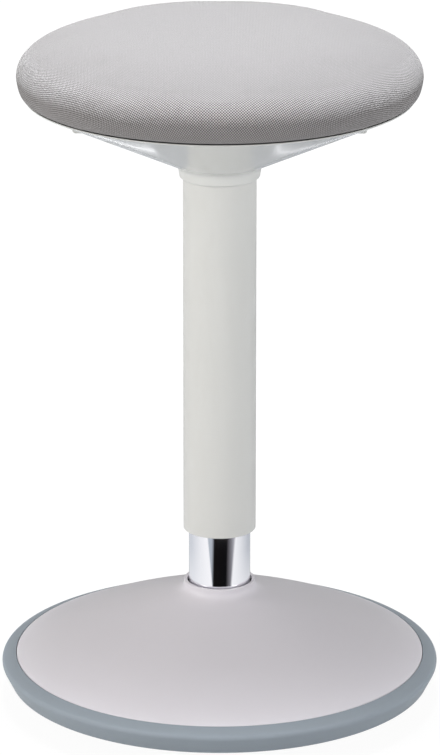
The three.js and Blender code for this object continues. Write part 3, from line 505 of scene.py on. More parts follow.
class Nodes:
    """A node tree, filled from an empty one."""

    def __init__(self, tree):
        self.tree = tree
        tree.nodes.clear()

    def node(self, kind, settings=None, inputs=None):
        """A node of any kind: its settings are set first, then its sockets."""
        node = self.tree.nodes.new(kind)
        for key, value in (settings or {}).items():
            if key == "stops":
                elements = node.color_ramp.elements
                while len(elements) < len(value):
                    elements.new(1)
                for element, (position, tint) in zip(elements, value):
                    element.position, element.color = position, (*tint, 1)
            else:
                setattr(node, key, value)
        for key, value in (inputs or {}).items():
            join(node.inputs[key], value)
        return node

    def in_view(self):
        """1 for what the camera sees, straight, in a mirror or through glass, and 0 for other rays."""
        path = self.node("ShaderNodeLightPath")
        straight, mirrored, through = [Number(path.outputs[f"Is {way} Ray"])
                                       for way in ("Camera", "Glossy", "Transmission")]
        most = straight.maths("MAXIMUM", straight, mirrored)
        return most.maths("MAXIMUM", most, through)

    def glow(self, tint):
        """A shader that shines with this colour."""
        return self.node("ShaderNodeEmission", None, {"Color": tint, "Strength": 1.0})

    def mixed(self, amount, first, second, end="ShaderNodeOutputMaterial"):
        """Ends the tree with two shaders mixed by an amount from 0 to 1."""
        shaders = {0: amount, 1: first.outputs[0], 2: second.outputs[0]}
        both = self.node("ShaderNodeMixShader", None, shaders)
        self.node(end, None, {"Surface": both.outputs[0]})


class Finish(Nodes):
    """A procedural material with its nodes."""

    def __init__(self, name="finish", source="Object"):
        self.material = bpy.data.materials.new(name)
        self.material.use_nodes = True
        super().__init__(self.material.node_tree)
        self.place = self.node("ShaderNodeTexCoord").outputs[source]

    def stretched(self, scale):
        """The piece's own coordinates, stretched along X, Y and Z."""
        return self.node("ShaderNodeMapping", None, {"Vector": self.place, "Scale": scale}).outputs[0]

    def noise(self, scale, detail=3, where=None):
        """Noise from 0 to 1, about scale lumps to the metre."""
        fields = {"Vector": where or self.place, "Scale": scale, "Detail": detail}
        return Number(self.node("ShaderNodeTexNoise", None, fields).outputs["Fac"])

    def axes(self, vector=None):
        """The numbers along X, Y and Z of the coordinates."""
        split = self.node("ShaderNodeSeparateXYZ", None, {0: vector or self.place})
        return [Number(socket) for socket in split.outputs]

    def blend(self, amount, first, second, way="MIX"):
        """Two colours mixed, or multiplied, by an amount from 0 to 1."""
        settings = {"data_type": "RGBA", "blend_type": way, "clamp_factor": True}
        return self.node("ShaderNodeMix", settings, {0: amount, 6: first, 7: second}).outputs[2]

    def ramp(self, amount, *stops):
        """A colour for each amount from 0 to 1, through (place, colour) stops."""
        return self.node("ShaderNodeValToRGB", {"stops": stops}, {0: amount}).outputs[0]

    def shades(self, amount, tint, low, high):
        """A colour whose light goes from low to high times its own by an amount from 0 to 1."""
        return self.blend(amount, linear(tint) * low, linear(tint) * high)

    def drift(self, tint, amount, scale=14):
        """A colour whose tone drifts broadly and a little over the piece."""
        return self.shades(self.noise(scale, 4), tint, 1 - amount, 1 + amount)

    def surface(self, base, roughness, height=None, relief=0.0, **fixed):
        """Ends the material: what varies feeds the colour, the roughness and the bump, and the rest
        are plain values of the shader's own sockets."""
        inputs = {"Base Color": base, "Roughness": roughness}
        if height is not None:
            bump = {"Strength": 1.0, "Distance": relief, "Height": height}
            inputs["Normal"] = self.node("ShaderNodeBump", None, bump).outputs[0]
        inputs.update({key.replace("_", " "): value for key, value in fixed.items()})
        shader = self.node("ShaderNodeBsdfPrincipled", None, inputs)
        self.node("ShaderNodeOutputMaterial", None, {"Surface": shader.outputs[0]})
        return self.material


def moulded(tint, roughness, grain=2600, relief=0.00002, **fixed):
    """Moulded plastic or rubber: a broad drift of tone, a fine eroded grain and a roughness that
    follows both."""
    made = Finish()
    fine = made.noise(grain, 2)
    broad = made.noise(22, 3)
    rough = roughness + (broad - 0.5) * 0.08 + (fine - 0.5) * 0.05
    return made.surface(made.drift(tint, 0.02), rough, fine, relief, **fixed)


def glossy(tint, shape):
    """The cowl's polished plastic: a broad drift of tone, a lighter tone over the collar as painted light
    that fades in up to the cone, and a duller finish over the collar and the curve above it."""
    made = Finish()
    _, _, up = made.axes()
    fade = (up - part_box("seat_cowl")[0].z) / shape.cowl_collar
    # Painted light: the collar is up to 15% lighter, for the light it catches, fading out into the cone.
    tone = made.shades(1.2 * fade - 0.70, tint, 1.15, 1)
    drift = made.blend(made.noise(14, 4), (0.98, 0.98, 0.98), (1, 1, 1))
    dull = (2.9 - 1.9 * fade).held()
    rough = 0.10 + dull * 0.30 + (made.noise(22, 3) - 0.5) * 0.04
    return made.surface(made.blend(1.0, tone, drift, "MULTIPLY"), rough, made.noise(40, 2), 0.000002,
                        Coat_Weight=0.1, Coat_Roughness=0.04)


def plated(tint, roughness, metallic=1.0, grain=900, relief=0.000004, **fixed):
    """Turned and plated metal: faint tool rings along the axis and a cloudy roughness."""
    made = Finish()
    rings = made.noise(1.0, 2, made.stretched((30, 30, grain * 4)))
    cloud = made.noise(60, 4)
    rough = roughness * (0.8 + 0.3 * cloud + 0.1 * rings)
    return made.surface(made.drift(tint, 0.03, 40), rough, rings, relief, Metallic=metallic, **fixed)


def woven(cushion, tints):
    """Plain weave on the piece's own flat pattern, in metres, whose two tones and threads stand out more
    in a band round the edge than on the crown and at the seam. In the cell
    (floor a, floor b) the warp lies on top where floor a + floor b is even, else the weft does, and a
    thread's height is sin(pi * share across it) * (0.62 + 0.38 sin(pi * share along it))."""
    made = Finish(source="UV")
    a, b, _ = made.axes()
    away = from_axis(a, b)
    rising = ((away - cushion.band_start) / cushion.band_rise).held()
    falling = ((cushion.band_end - away) / cushion.band_fall).held()
    banded = rising * falling
    parted = 0.2 + 0.8 * banded
    a, b = a / cushion.pitch, b / cushion.pitch
    weft_up = ((a.floor() + b.floor()) * 0.5).part() * 2
    bow_a, bow_b = (a.part() * math.pi).wave(), (b.part() * math.pi).wave()
    warp_height = bow_a * (0.62 + 0.38 * bow_b)
    weft_height = bow_b * (0.62 + 0.38 * bow_a)
    height = warp_height + (weft_height - warp_height) * weft_up
    slub_a = made.noise(1.0, 2, made.stretched((1 / cushion.pitch, 60, 1)))
    slub_b = made.noise(1.0, 2, made.stretched((60, 1 / cushion.pitch, 1)))
    slub = slub_a + (slub_b - slub_a) * weft_up
    fuzz = made.noise(5200, 2)
    warp, weft = linear(tints.warp), linear(tints.weft)
    thread = made.blend(parted, (warp + weft) * 0.40, made.blend(weft_up, warp, weft))
    # Painted shade: the threads' colour darkens down into the gaps and dips between them; slub and fuzz
    # vary the yarn's own tone.
    shade = 0.5 + 0.5 * height + (slub - 0.5) * 0.5 + (fuzz - 0.5) * 0.2
    shaded = made.blend(1.0, thread, made.ramp(
        shade, (0.0, (0.45, 0.45, 0.46)), (0.55, (0.85, 0.85, 0.85)), (1.0, (1, 1, 1))), "MULTIPLY")
    rough = 0.95 - height * 0.12
    raised = (height + fuzz * 0.25) * (0.4 + 0.6 * banded)
    return made.surface(shaded, rough, raised, cushion.relief,
                        Sheen_Weight=0.25, Sheen_Roughness=0.45, Specular_IOR_Level=0.25)


PLY = 0.0015  # thickness of one ply, in metres


def veneered(tint):
    """Plywood: plies whose grain runs along X and Y in turn, with darker glue lines between them."""
    made = Finish()
    _, _, up = made.axes()
    ply = up / PLY
    odd = (ply.floor() * 0.5).part() * 2
    along_x = made.noise(1.0, 5, made.stretched((18, 420, 900)))
    along_y = made.noise(1.0, 5, made.stretched((420, 18, 900)))
    grain = along_x + (along_y - along_x) * odd
    glue = ((ply.part() - 0.5).size() * 2).power(14)
    lined = made.shades(grain, tint, 0.62, 1.18)
    shaded = made.blend(glue, lined, linear(tint) * 0.25)
    return made.surface(shaded, 0.68 + grain * 0.1, grain, 0.00012)


def porous(tint):
    """Cut foam: small round cells, their hollows darker than their walls as painted shade."""
    made = Finish()
    cells = Number(made.node("ShaderNodeTexVoronoi", None, {"Vector": made.place, "Scale": 900})
                   .outputs["Distance"])
    return made.surface(made.shades(cells, tint, 0.7, 1), 0.95 - cells * 0.05, cells, 0.0004)


def cast(tint):
    """Sand-cast iron: coarse lumps with fine pits, a little shinier on the lumps."""
    made = Finish()
    lumps, pits = made.noise(160, 5), made.noise(1500, 2)
    return made.surface(made.drift(tint, 0.12, 40), 0.72 - lumps * 0.2, lumps + pits * 0.4, 0.0005,
                        Metallic=0.6)


def finishes(shape, cushion, tints):
    """Every finish of the stool, by the name of its slot in the record."""
    return {
        "pad_rubber": moulded(tints.pad, 0.82, 1400, 0.00006),
        "pan_plastic": moulded(tints.pan, 0.6, 1600, 0.00007),
        "dome_plastic": moulded(tints.dome, 0.42, 2400, 0.000012),
        "rim_rubber": moulded(tints.rim, 0.55, 2200, 0.00002, Specular_IOR_Level=0.12),
        "black_rubber": moulded(tints.rubber, 0.78, 1800, 0.00004),
        "nylon": moulded(tints.nylon, 0.45, 2200, 0.00001),
        "sleeve_paint": moulded(tints.sleeve, 0.36, 1900, 0.000015),
        "cowl_plastic": glossy(tints.cowl, shape),
        "lever_plastic": moulded(tints.cowl, 0.18, 900, 0.000006),
        "black_steel": moulded(tints.black, 0.4, 1500, 0.00002, Metallic=0.3),
        "chrome": plated(tints.chrome, 0.035, 1.0, 300, 0.0000002),
        "steel": plated(tints.steel, 0.34, 0.9),
        "cast_iron": cast(tints.iron),
        "plywood": veneered(tints.veneer),
        "foam": porous(tints.foam),
        "seat_fabric": woven(cushion, tints),
    }


STOOL = "stool_"  # starts every material's name, so none clashes with the frame's own


def dress(piece, body, slot, *nodes):
    """Lets a finished piece ride on its body in the place of CAD nodes, with the slot's finish."""
    piece.data.materials.clear()
    piece.data.materials.append(bpy.data.materials[STOOL + slot])
    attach(piece, body)
    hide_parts(*nodes)
    return piece


class StoolWork:
    """What every operator here shares."""
    bl_options = {"REGISTER", "UNDO"}


class STOOL_OT_finishes(StoolWork, bpy.types.Operator):
    """Makes every finish and puts it on the CAD nodes"""
    bl_idname = "stool.finishes"
    bl_label = "Finishes"

    def execute(self, context):
        scene = context.scene
        made = finishes(scene.stool_shape, scene.stool_cushion, scene.stool_colours)
        for slot, material in made.items():
            material.name = STOOL + slot
        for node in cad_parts.values():
            for place in node.material_slots:
                place.material = made[place.material.name.split(".")[0]]
        return {"FINISHED"}


# Base

SWELL_STEPS = 40  # along the dome's slope
CURVE_STEPS = 24  # along the flare, and along the dome's inner face
NOSE_STEPS = 16  # round the rim's nose
NOSE_SWEEP = (76, -27)  # degrees over the level, from the rim's top to its underside
PAN_STEPS = 28  # along the rocking curve
GROOVE_SHARES = (0.45, 0.75)  # places of the grip grooves, as shares of the pad's radius


def pan_under(radius, shape):
    """Height of the pan's underside: lift + R - sqrt(R^2 - (r - pad)^2), with R the rocking radius."""
    pad = reach("floor_pad")[0]
    run = np.maximum(0, np.asarray(radius) - pad)
    return shape.pan_lift + shape.rock_radius - np.sqrt(shape.rock_radius ** 2 - run ** 2)


class STOOL_OT_base(StoolWork, bpy.types.Operator):
    """Builds the dome, the soft rim, the rocking pan, the floor pad and the collar's seal"""
    bl_idname = "stool.base"
    bl_label = "Base"

    def dome(self, shape):
        """Height over the edge: rise * s + 4 * bulge * s * (1 - s), where s goes from 0 at the edge to 1
        at the shoulder. A quadratic curve then flares up into the collar."""
        edge, low, top = reach("base_dome")
        bore = reach("chrome_tube")[0] + shape.collar_gap
        collar = bore + shape.collar_wall
        shoulder, fine = collar + shape.flare_reach, shape.edge_round
        edge_height = top - shape.collar_rise - shape.dome_rise
        run = edge - shoulder

        def swell(s):
            return edge_height + shape.dome_rise * s + 4 * shape.dome_bulge * s * (1 - s)

        s = np.linspace(0, 1, SWELL_STEPS)
        slope = (shape.dome_rise - 4 * shape.dome_bulge) / run
        bend = swell(1) + slope * shape.flare_reach
        foot, knee = np.array([[shoulder, swell(1)], [collar, bend]])
        head = np.array([collar, top - shape.collar_straight])
        t = np.linspace(0, 1, CURVE_STEPS)[1:, None]
        flare = foot * (1 - t) ** 2 + knee * 2 * t * (1 - t) + head * t ** 2
        seal, _, seal_top = reach("collar_seal")
        seat = seal_top + shape.clearance
        drop = shape.wall * math.hypot(1, shape.dome_rise / run)
        inside = np.linspace(1, 0, CURVE_STEPS)[:-1]
        inner = edge - shape.wall
        under = sharp(edge - inside * run, swell(inside) - drop)
        corners = [
            (edge, low, fine), (edge, edge_height, shape.dome_round),
            *sharp(edge - s[1:] * run, swell(s[1:])), *sharp(*flare.T),
            (collar, top, shape.collar_round), (bore, top, shape.collar_round / 2),
            (bore, seat, 0.75 * fine), (seal + shape.clearance, seat, 0),
            (seal + shape.clearance, bend, 0), (collar + shape.wall, bend - shape.wall, 5 * fine),
            *under[under[:, 0] < inner],
            (inner, float(swell((edge - inner) / run)) - drop, 0), (inner, low, fine),
        ]
        return turned("dome_shell", rounded(corners), shape.sides)

    def rim(self, shape):
        """Outline: a sloping top, a round nose swept from its top to its underside, and a face that
        draws in to the foot."""
        outer, foot, _ = reach("base_rim")
        edge, _, top = reach("base_dome")
        edge_height = top - shape.collar_rise - shape.dome_rise
        inner = edge + shape.clearance
        pan = reach("base_pan")[0]
        heel, fine = pan + shape.clearance, shape.edge_round
        nose_x, nose_z = outer - shape.rim_nose, edge_height - shape.rim_drop - shape.rim_nose
        angle = np.radians(np.linspace(*NOSE_SWEEP, NOSE_STEPS))
        nose = sharp(nose_x + shape.rim_nose * np.cos(angle), nose_z + shape.rim_nose * np.sin(angle))
        shelf = float(pan_under(pan, shape)) + shape.wall + shape.clearance
        corners = [
            (inner, edge_height, 1.25 * fine), *nose, (heel + shape.rim_foot, foot, fine),
            (heel, foot, 0), (heel, shelf, 0), (inner, shelf, fine),
        ]
        return turned("soft_rim", rounded(corners), shape.sides)

    def pan(self, shape):
        """A wall along the rocking curve, let in over the pad, with a boss and a pocket for each screw."""
        edge = reach("base_pan")[0]
        pad, _, pad_top = reach("floor_pad")
        recess, roof = pad + shape.clearance, pad_top + shape.clearance
        out = np.linspace(recess, edge, PAN_STEPS)
        back = np.linspace(edge, recess + shape.wall, PAN_STEPS)
        lower = sharp(out, pan_under(out, shape))
        upper = sharp(back, pan_under(back, shape) + shape.wall)
        lower[0, 2] = lower[-1, 2] = shape.edge_round
        corners = [(0, roof, 0), (recess, roof, 1.25 * shape.edge_round), *lower, *upper,
                   (0, roof + shape.wall, 0)]
        shell = turned("rocking_pan", rounded(corners), shape.sides)
        places, head, seat = pockets(shape, "pan_screw")
        wall = float(pan_under(math.hypot(*places[0]), shape)) + shape.wall / 2
        return bossed(shell, places, (shape.screw_boss, wall, seat + shape.boss_floor),
                      (head, -shape.overrun, seat))

    def pad(self, shape):
        """A disc with two grip grooves let into its underside."""
        edge, low, top = reach("floor_pad")
        corners = [(0, low, 0)]
        roof, small = low + shape.groove_depth, shape.edge_round / 2
        for near in np.array(GROOVE_SHARES) * edge:
            far = near + shape.groove_width
            corners += [(near, low, small), (near, roof, small), (far, roof, small), (far, low, small)]
        corners += [(edge, low, 2 * shape.edge_round), (edge, top, 0.75 * shape.edge_round),
                    (0, top, 0)]
        return turned("grip_pad", rounded(corners, 4), shape.sides)

    def execute(self, context):
        shape = context.scene.stool_shape
        dress(polish(self.dome(shape)), "base", "dome_plastic", "base_dome")
        dress(polish(self.rim(shape)), "base", "rim_rubber", "base_rim")
        dress(polish(self.pan(shape)), "base", "pan_plastic", "base_pan")
        dress(polish(self.pad(shape)), "base", "pad_rubber", "floor_pad")
        # The collar's seal is black rubber, a part of the stool, and its dark ring also paints the shade
        # in the gap round the tube.
        lip = 1.5 * shape.edge_round
        seal = hoop(reach("chrome_tube")[0] + shape.clearance, "collar_seal", (0, 0, lip, lip))
        dress(polish(turned("collar_ring", seal, shape.sides)), "base", "black_rubber", "collar_seal")
        return {"FINISHED"}


# Column

class STOOL_OT_column(StoolWork, bpy.types.Operator):
    """Builds the chrome tube, the painted sleeve and the sleeve's bush"""
    bl_idname = "stool.column"
    bl_label = "Column"

    def execute(self, context):
        shape = context.scene.stool_shape
        tube, low, top = reach("chrome_tube")
        bore, taper, fine = tube - shape.tube_wall, shape.tube_taper, shape.edge_round
        floor, straight = low + shape.tube_foot, low + shape.taper_height
        plated = rounded([
            (shape.rod_hole, low, 0), (tube - taper, low, 2.5 * fine), (tube, straight, 0),
            (tube, top, 2 * fine), (bore, top, 2 * fine), (bore, straight, 0),
            (bore - taper, floor, 0), (shape.rod_hole, floor, 0),
        ])
        inner = reach("outer_sleeve")[0] - shape.sleeve_wall
        sleeve = hoop(inner, "outer_sleeve", (1.25 * fine, 2 * fine, 0, 0))
        bush = hoop(tube + shape.clearance, "sleeve_bush", (fine, fine, 0, 0))
        for name, outline, body, slot, node in (
                ("plated_tube", plated, "base", "chrome", "chrome_tube"),
                ("painted_sleeve", sleeve, "seat", "sleeve_paint", "outer_sleeve"),
                ("sleeve_ring", bush, "seat", "nylon", "sleeve_bush")):
            dress(polish(turned(name, outline, shape.sides)), body, slot, node)
        return {"FINISHED"}


# Cowl and levers

def cowl_lines(shape):
    """The cowl's rim radius, rim height, foot radius and the slope of its cone."""
    rim, low, _ = reach("seat_cowl")
    sleeve = reach("outer_sleeve")[0]
    cone_top = low + shape.cowl_collar + shape.cowl_depth
    foot = sleeve + shape.clearance + shape.cowl_collar_wall
    return rim, cone_top, foot, shape.cowl_depth / (rim - foot)


class STOOL_OT_cowl(StoolWork, bpy.types.Operator):
    """Builds the glossy cowl: a cone with a collar, two lever slots and four screw bosses"""
    bl_idname = "stool.cowl"
    bl_label = "Cowl"

    def execute(self, context):
        shape = context.scene.stool_shape
        rim, cone_top, foot, slope = cowl_lines(shape)
        low = reach("seat_cowl")[1]
        sleeve, _, sleeve_top = reach("outer_sleeve")
        bore = sleeve + shape.clearance
        top = cone_top + shape.cowl_lip
        rise = shape.cowl_wall * math.hypot(1, slope)
        stop = sleeve_top + shape.clearance
        ledge, ledge_top = bore - shape.cowl_stop, stop + shape.cowl_stop_height
        fine = shape.edge_round
        shell = turned("gloss_cowl", rounded([
            (bore, low + 2 * fine, 0), (bore + 1.75 * fine, low, fine / 2),
            (bore + shape.cowl_collar_toe, low + shape.cowl_chamfer, 2 * fine),
            (foot, low + shape.cowl_collar, shape.cowl_blend), (rim, cone_top, shape.cowl_round),
            (rim, top, 0), (rim - (rise - shape.cowl_lip) / slope, top, 0),
            (foot, cone_top - (rim - foot) * slope + rise, 0), (foot, ledge_top, 0),
            (ledge, ledge_top, 0), (ledge, stop, 0), (bore, stop, 0),
        ]), shape.cowl_sides)
        places, head, seat = pockets(shape, "cowl_screw")
        wall = cone_top - (rim - math.hypot(*places[0])) * slope + rise / 2
        board = reach("seat_board")[1] - shape.clearance
        bossed(shell, places, (shape.cowl_boss, wall + shape.cowl_boss * slope, board),
               (head, wall - 7.5 * shape.overrun, seat))
        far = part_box("lever_right")[1].x + shape.slot_margin
        near = far - shape.paddle_length - shape.paddle_root - 2 * shape.slot_margin
        half = shape.paddle_width / 2 + shape.slot_margin
        upright = (Matrix.Translation((0, 0, cone_top - 5 * shape.overrun))
                   @ Matrix.Rotation(math.pi / 2, 4, "X"))
        slots = []
        for side in (1, -1):
            slot = bar("slot", side * near, side * far, half, -half, 10 * shape.overrun, 5 * fine)
            slot.data.transform(upright)
            slots.append(mended(slot, turn_faces=True))
        carve(shell, slots)
        dress(polish(shell), "seat", "cowl_plastic", "seat_cowl")
        return {"FINISHED"}


class STOOL_OT_levers(StoolWork, bpy.types.Operator):
    """Builds both release levers: a paddle, an arm, a hub on the pivot, and a tongue or a fork"""
    bl_idname = "stool.levers"
    bl_label = "Levers"

    def blank(self, shape, nose):
        """The right lever before its bores are cut, with a nose of this half width. Gives the piece, the
        cutter of its pivot bore, and the nose's end with the arm's underside, middle and top."""
        low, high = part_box("lever_right")
        out, under, top = high.x, low.z, high.z
        arm_low = top - shape.lever_depth
        near = out - shape.paddle_length
        middle = top - shape.lever_depth / 2
        size, edge, root = shape.paddle_round, shape.edge_round, near - shape.paddle_root
        paddle = prism("paddle", rounded([
            (root, arm_low, 5 * edge), (near + edge, under, size), (out - shape.paddle_slope, under, size),
            (out - 2.5 * edge, arm_low + 5 * edge, 10 * edge), (out, top, 2 * edge), (root, top, 0),
        ]), shape.paddle_width / 2)
        soften(paddle, shape.paddle_bevel, 4)
        start, end = shape.nose_root, shape.nose_root + shape.link_slack
        arm = bar("arm", start, near, arm_low, top, shape.lever_width / 2)
        front = bar("nose", low.x, end, arm_low, top, nose)
        hub = laid(plug(shape.hub_radius, low.y, high.y), shape.pivot_offset, middle)
        carve(paddle, [arm, front, hub], "UNION")
        through = 7.5 * shape.overrun
        bore = laid(plug(shape.pivot_bore, -through, through), shape.pivot_offset, middle)
        return paddle, bore, (low.x, arm_low, middle, top)

    def execute(self, context):
        shape = context.scene.stool_shape
        tongue = shape.fork_half - shape.clearance
        past = shape.overrun
        left, bore, (_, _, middle, _) = self.blank(shape, tongue)
        carve(left, [bore, laid(plug(shape.link_bore, -2.5 * past, 2.5 * past), 0, middle)])
        left.data.transform(Matrix.Rotation(math.pi, 4, "Z"))
        right, bore, (nose, low, middle, top) = self.blank(shape, shape.lever_width / 2)
        wide, high, turn = shape.link_bore + shape.link_slack, shape.link_bore, 4.5 * shape.edge_round
        slot = bar("slot", -wide, wide, middle - high, middle + high, 2.5 * past, turn)
        gap = bar("gap", nose - past, shape.fork_depth, low - past, top + past, shape.fork_half)
        carve(right, [bore, slot, gap])
        for piece, side in ((left, "left"), (right, "right")):
            piece.name = piece.data.name = f"release_{side}"
            dress(polish(piece), f"lever_{side}", "lever_plastic", f"lever_{side}")
        return {"FINISHED"}


# Screws

class STOOL_OT_screws(StoolWork, bpy.types.Operator):
    """Builds the round-headed screws that show under the base and under the cowl"""
    bl_idname = "stool.screws"
    bl_label = "Screws"

    def execute(self, context):
        shape = context.scene.stool_shape
        for place, body in (("pan_screw", "base"), ("cowl_screw", "seat")):
            for number in range(1, 5):
                node = f"{place}_{number}"
                x, y, low, high = spot(node)
                head = (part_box(node)[1].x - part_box(node)[0].x) / 2
                piece = turned(f"{place}_head_{number}", self.outline(shape, low, high, head), 48, (x, y),
                               self.recess(shape, low, head))
                dress(polish(piece), body, "steel", node)
        return {"FINISHED"}

    def outline(self, shape, low, high, head):
        """A flat with closely set rings for the recess, a round flank r = head sin(t),
        z = flank top - crown cos(t), the seat and a pointed shank."""
        seat = low + shape.screw_head
        t = np.linspace(0, math.pi / 2, 14)
        flank = seat - 1.5 * shape.edge_round
        crown = np.column_stack([head * np.sin(t), flank - shape.screw_crown * np.cos(t)])
        crown = crown[crown[:, 0] > 0.9 * head]
        flat = np.linspace(0, 0.86 * head, 22)
        flat = np.column_stack([flat, np.full(len(flat), low)])
        shank = [[head, seat], [shape.screw_radius, seat],
                 [shape.screw_radius, high - shape.screw_radius], [0, high]]
        return np.concatenate([flat, crown, shank])

    def recess(self, shape, low, head):
        """Cross recess and domed flat: depth * max(bar(x) end(y), bar(y) end(x)) + dome (r / head)^2,
        where bar and end fall from 1 to 0 over a soft edge."""
        def bar(t, half):
            return np.clip((half - np.abs(t)) / (0.75 * shape.edge_round) + 0.5, 0, 1)

        def raised(across, along, up):
            cross = np.maximum(bar(across, shape.recess_half) * bar(along, shape.recess_reach),
                               bar(along, shape.recess_half) * bar(across, shape.recess_reach))
            dome = shape.edge_round * (np.hypot(across, along) / head) ** 2
            return np.where(up <= low + 1e-6, shape.recess_depth * cross + dome, 0)
        return raised


# Cushion

CROWN_STEPS = 400  # along the outline from the crown to the widest circle
SIDE_STEPS = 120  # from there down to the fold
HEM_STEPS = 40  # from the fold to the hem
CROWN_SHARE, SIDE_SHARE = 0.62, 0.22  # of the rings, which the hem shares too


class STOOL_OT_cushion(StoolWork, bpy.types.Operator):
    """Sews, swells and finishes the padded cushion"""
    bl_idname = "stool.cushion"
    bl_label = "Cushion"

    def profile(self, cushion):
        """The cushion's outline from the crown to the hem, lower by the crown's inset and narrower by the
        waist's, with the distance along it. Crown: r = R cos(t)^(2/a), z = middle + H sin(t)^(2/b).
        Side: r = seam + tuck cos(t)^u, z = middle - side sin(t), down to the fold, then flat to the
        hem."""
        widest, low, top = reach("seat_cover")
        low += cushion.lift
        middle = low + cushion.side
        seam = widest - cushion.tuck
        crown = top - middle
        t = np.linspace(math.pi / 2, 0, CROWN_STEPS)
        radius = (widest - cushion.waist) * np.maximum(np.cos(t), 0) ** (2 / cushion.across)
        radius[0] = 0
        height = middle + (crown - cushion.inset) * np.sin(t) ** (2 / cushion.upward)
        t = np.linspace(0, math.pi / 2, SIDE_STEPS)[1:]
        side = np.column_stack([seam + (cushion.tuck - cushion.waist) * np.cos(t) ** cushion.under,
                                middle - cushion.side * np.sin(t)])
        flat = np.linspace(seam - cushion.fold, seam - cushion.hem, HEM_STEPS)
        flat = np.column_stack([flat, np.full(HEM_STEPS, low)])
        line = np.concatenate([np.column_stack([radius, height]), side, flat])
        steps = np.hypot(*np.diff(line, axis=0).T)
        return line, np.concatenate([[0], np.cumsum(steps)])

    def rings(self, line, distance, cushion, widest_at, fold_at):
        """Places, radii and heights of the rings along the outline: even over the crown, closer over the
        side and the fold."""
        count = cushion.rings
        crown = int(count * CROWN_SHARE)
        side = int(count * SIDE_SHARE)
        hem = count - crown - side
        at = np.concatenate([
            np.linspace(0, widest_at, crown + 1)[:-1],
            np.linspace(widest_at, fold_at, side + 1)[:-1],
            fold_at + (distance[-1] - fold_at) * (np.linspace(0, 1, hem + 1) ** 1.6),
        ])
        radius = np.interp(at, distance, line[:, 0])
        height = np.interp(at, distance, line[:, 1])
        return at, radius, height

    def execute(self, context):
        cushion = context.scene.stool_cushion
        line, distance = self.profile(cushion)
        widest_at = distance[CROWN_STEPS - 1]
        fold_at = distance[CROWN_STEPS + SIDE_STEPS - 2]
        at, radius, height = self.rings(line, distance, cushion, widest_at, fold_at)
        piece, ring = self.pattern("cushion", cushion.rings, radius, height)
        start = read(piece.data.vertices, "co")
        self.flat_pattern(piece, start, at[ring])
        hold = piece.vertex_groups.new(name="held")
        held = np.nonzero(at[ring] >= fold_at - cushion.held)[0]
        hold.add(held.tolist(), 1.0, "REPLACE")
        moved = self.swell(piece, cushion, start)
        piece.data.vertices.foreach_set("co", moved.astype(np.float32).ravel())
        piece.data.update()
        piece.vertex_groups.clear()
        finer = piece.modifiers.new("finer", "SUBSURF")
        finer.levels = finer.render_levels = 1
        finer.uv_smooth = "PRESERVE_BOUNDARIES"
        thick = piece.modifiers.new("thick", "SOLIDIFY")
        thick.thickness, thick.offset, thick.use_even_offset = cushion.cover, -1, True
        settle(piece)
        piece.data.shade_smooth()
        dress(piece, "seat", "seat_fabric", "seat_cover", "seat_foam")
        return {"FINISHED"}

    def pattern(self, name, count, radius, height):
        """A square grid laid on the disc in concentric squares: on the square's ring q, with p along the
        side, the angle is (pi / 4) p / q, so the quads stay even. Ring k of the square is ring k of the
        outline: (r_k cos a, r_k sin a, z_k)."""
        span = np.arange(-count, count + 1)
        x, y = np.meshgrid(span, span, indexing="xy")
        wide = np.abs(x) >= np.abs(y)
        ring = np.maximum(np.abs(x), np.abs(y))
        safe = np.maximum(ring, 1)
        quarter = math.pi / 4
        angle = np.where(
            wide, np.where(x >= 0, 0, math.pi) + quarter * (y / safe) * np.where(x >= 0, 1, -1),
            np.where(y >= 0, 1, -1) * (math.pi / 2 - quarter * (x / safe)))
        points = np.stack([radius[ring] * np.cos(angle), radius[ring] * np.sin(angle), height[ring]], -1)
        size = 2 * count + 1
        row, column = np.meshgrid(np.arange(size - 1), np.arange(size - 1), indexing="ij")
        corner = row * size + column
        faces = np.stack([corner, corner + 1, corner + size + 1, corner + size], -1).reshape(-1, 4)
        return piece_of(name, points.reshape(-1, 3), faces), ring.ravel()

    def flat_pattern(self, piece, places, at):
        """The cut cloth as the piece's UV map, in metres: the direction from the axis times the distance
        along the outline."""
        away = np.hypot(places[:, 0], places[:, 1])
        safe = np.where(away > 1e-9, away, 1)
        flat = places[:, :2] / safe[:, None] * at[:, None]
        corners = read(piece.data.loops, "vertex_index", 1, np.int32).ravel()
        layer = piece.data.uv_layers.new(name="cloth")
        layer.data.foreach_set("uv", flat[corners].astype(np.float32).ravel())

    def swell(self, piece, cushion, start):
        """Cloth with inner pressure and no gravity swells the cushion, and each point's way is capped."""
        step = piece.modifiers.new("swell", "CLOTH")
        cloth = step.settings
        cloth.quality, cloth.mass = 6, 0.3
        cloth.tension_stiffness = cloth.compression_stiffness = 15
        cloth.shear_stiffness, cloth.bending_stiffness = 5, 0.8
        cloth.use_pressure, cloth.uniform_pressure_force = True, cushion.pressure
        cloth.effector_weights.gravity = 0
        cloth.vertex_group_mass = "held"
        step.point_cache.frame_start, step.point_cache.frame_end = 1, cushion.frames
        scene = bpy.context.scene
        for number in range(1, cushion.frames + 1):
            scene.frame_set(number)
        shaped = piece.evaluated_get(bpy.context.evaluated_depsgraph_get())
        way = read(shaped.data.vertices, "co") - start
        piece.modifiers.remove(step)
        scene.frame_set(1)
        far = np.linalg.norm(way, axis=1, keepdims=True)
        way = way * np.minimum(1, cushion.cap / np.maximum(far, 1e-9))
        return start + self.eased(way, cushion)

    def eased(self, way, cushion):
        """The points' ways, each the mean of itself and its four neighbours on the grid, over and over,
        so no crease stays where the cloth bulged between its rows. The grid's border stays."""
        size = 2 * cushion.rings + 1
        way = way.reshape(size, size, 3).copy()
        for _ in range(cushion.easing):
            around = way[:-2, 1:-1] + way[2:, 1:-1] + way[1:-1, :-2] + way[1:-1, 2:]
            way[1:-1, 1:-1] = (way[1:-1, 1:-1] + around) / 5
        return way.reshape(-1, 3)

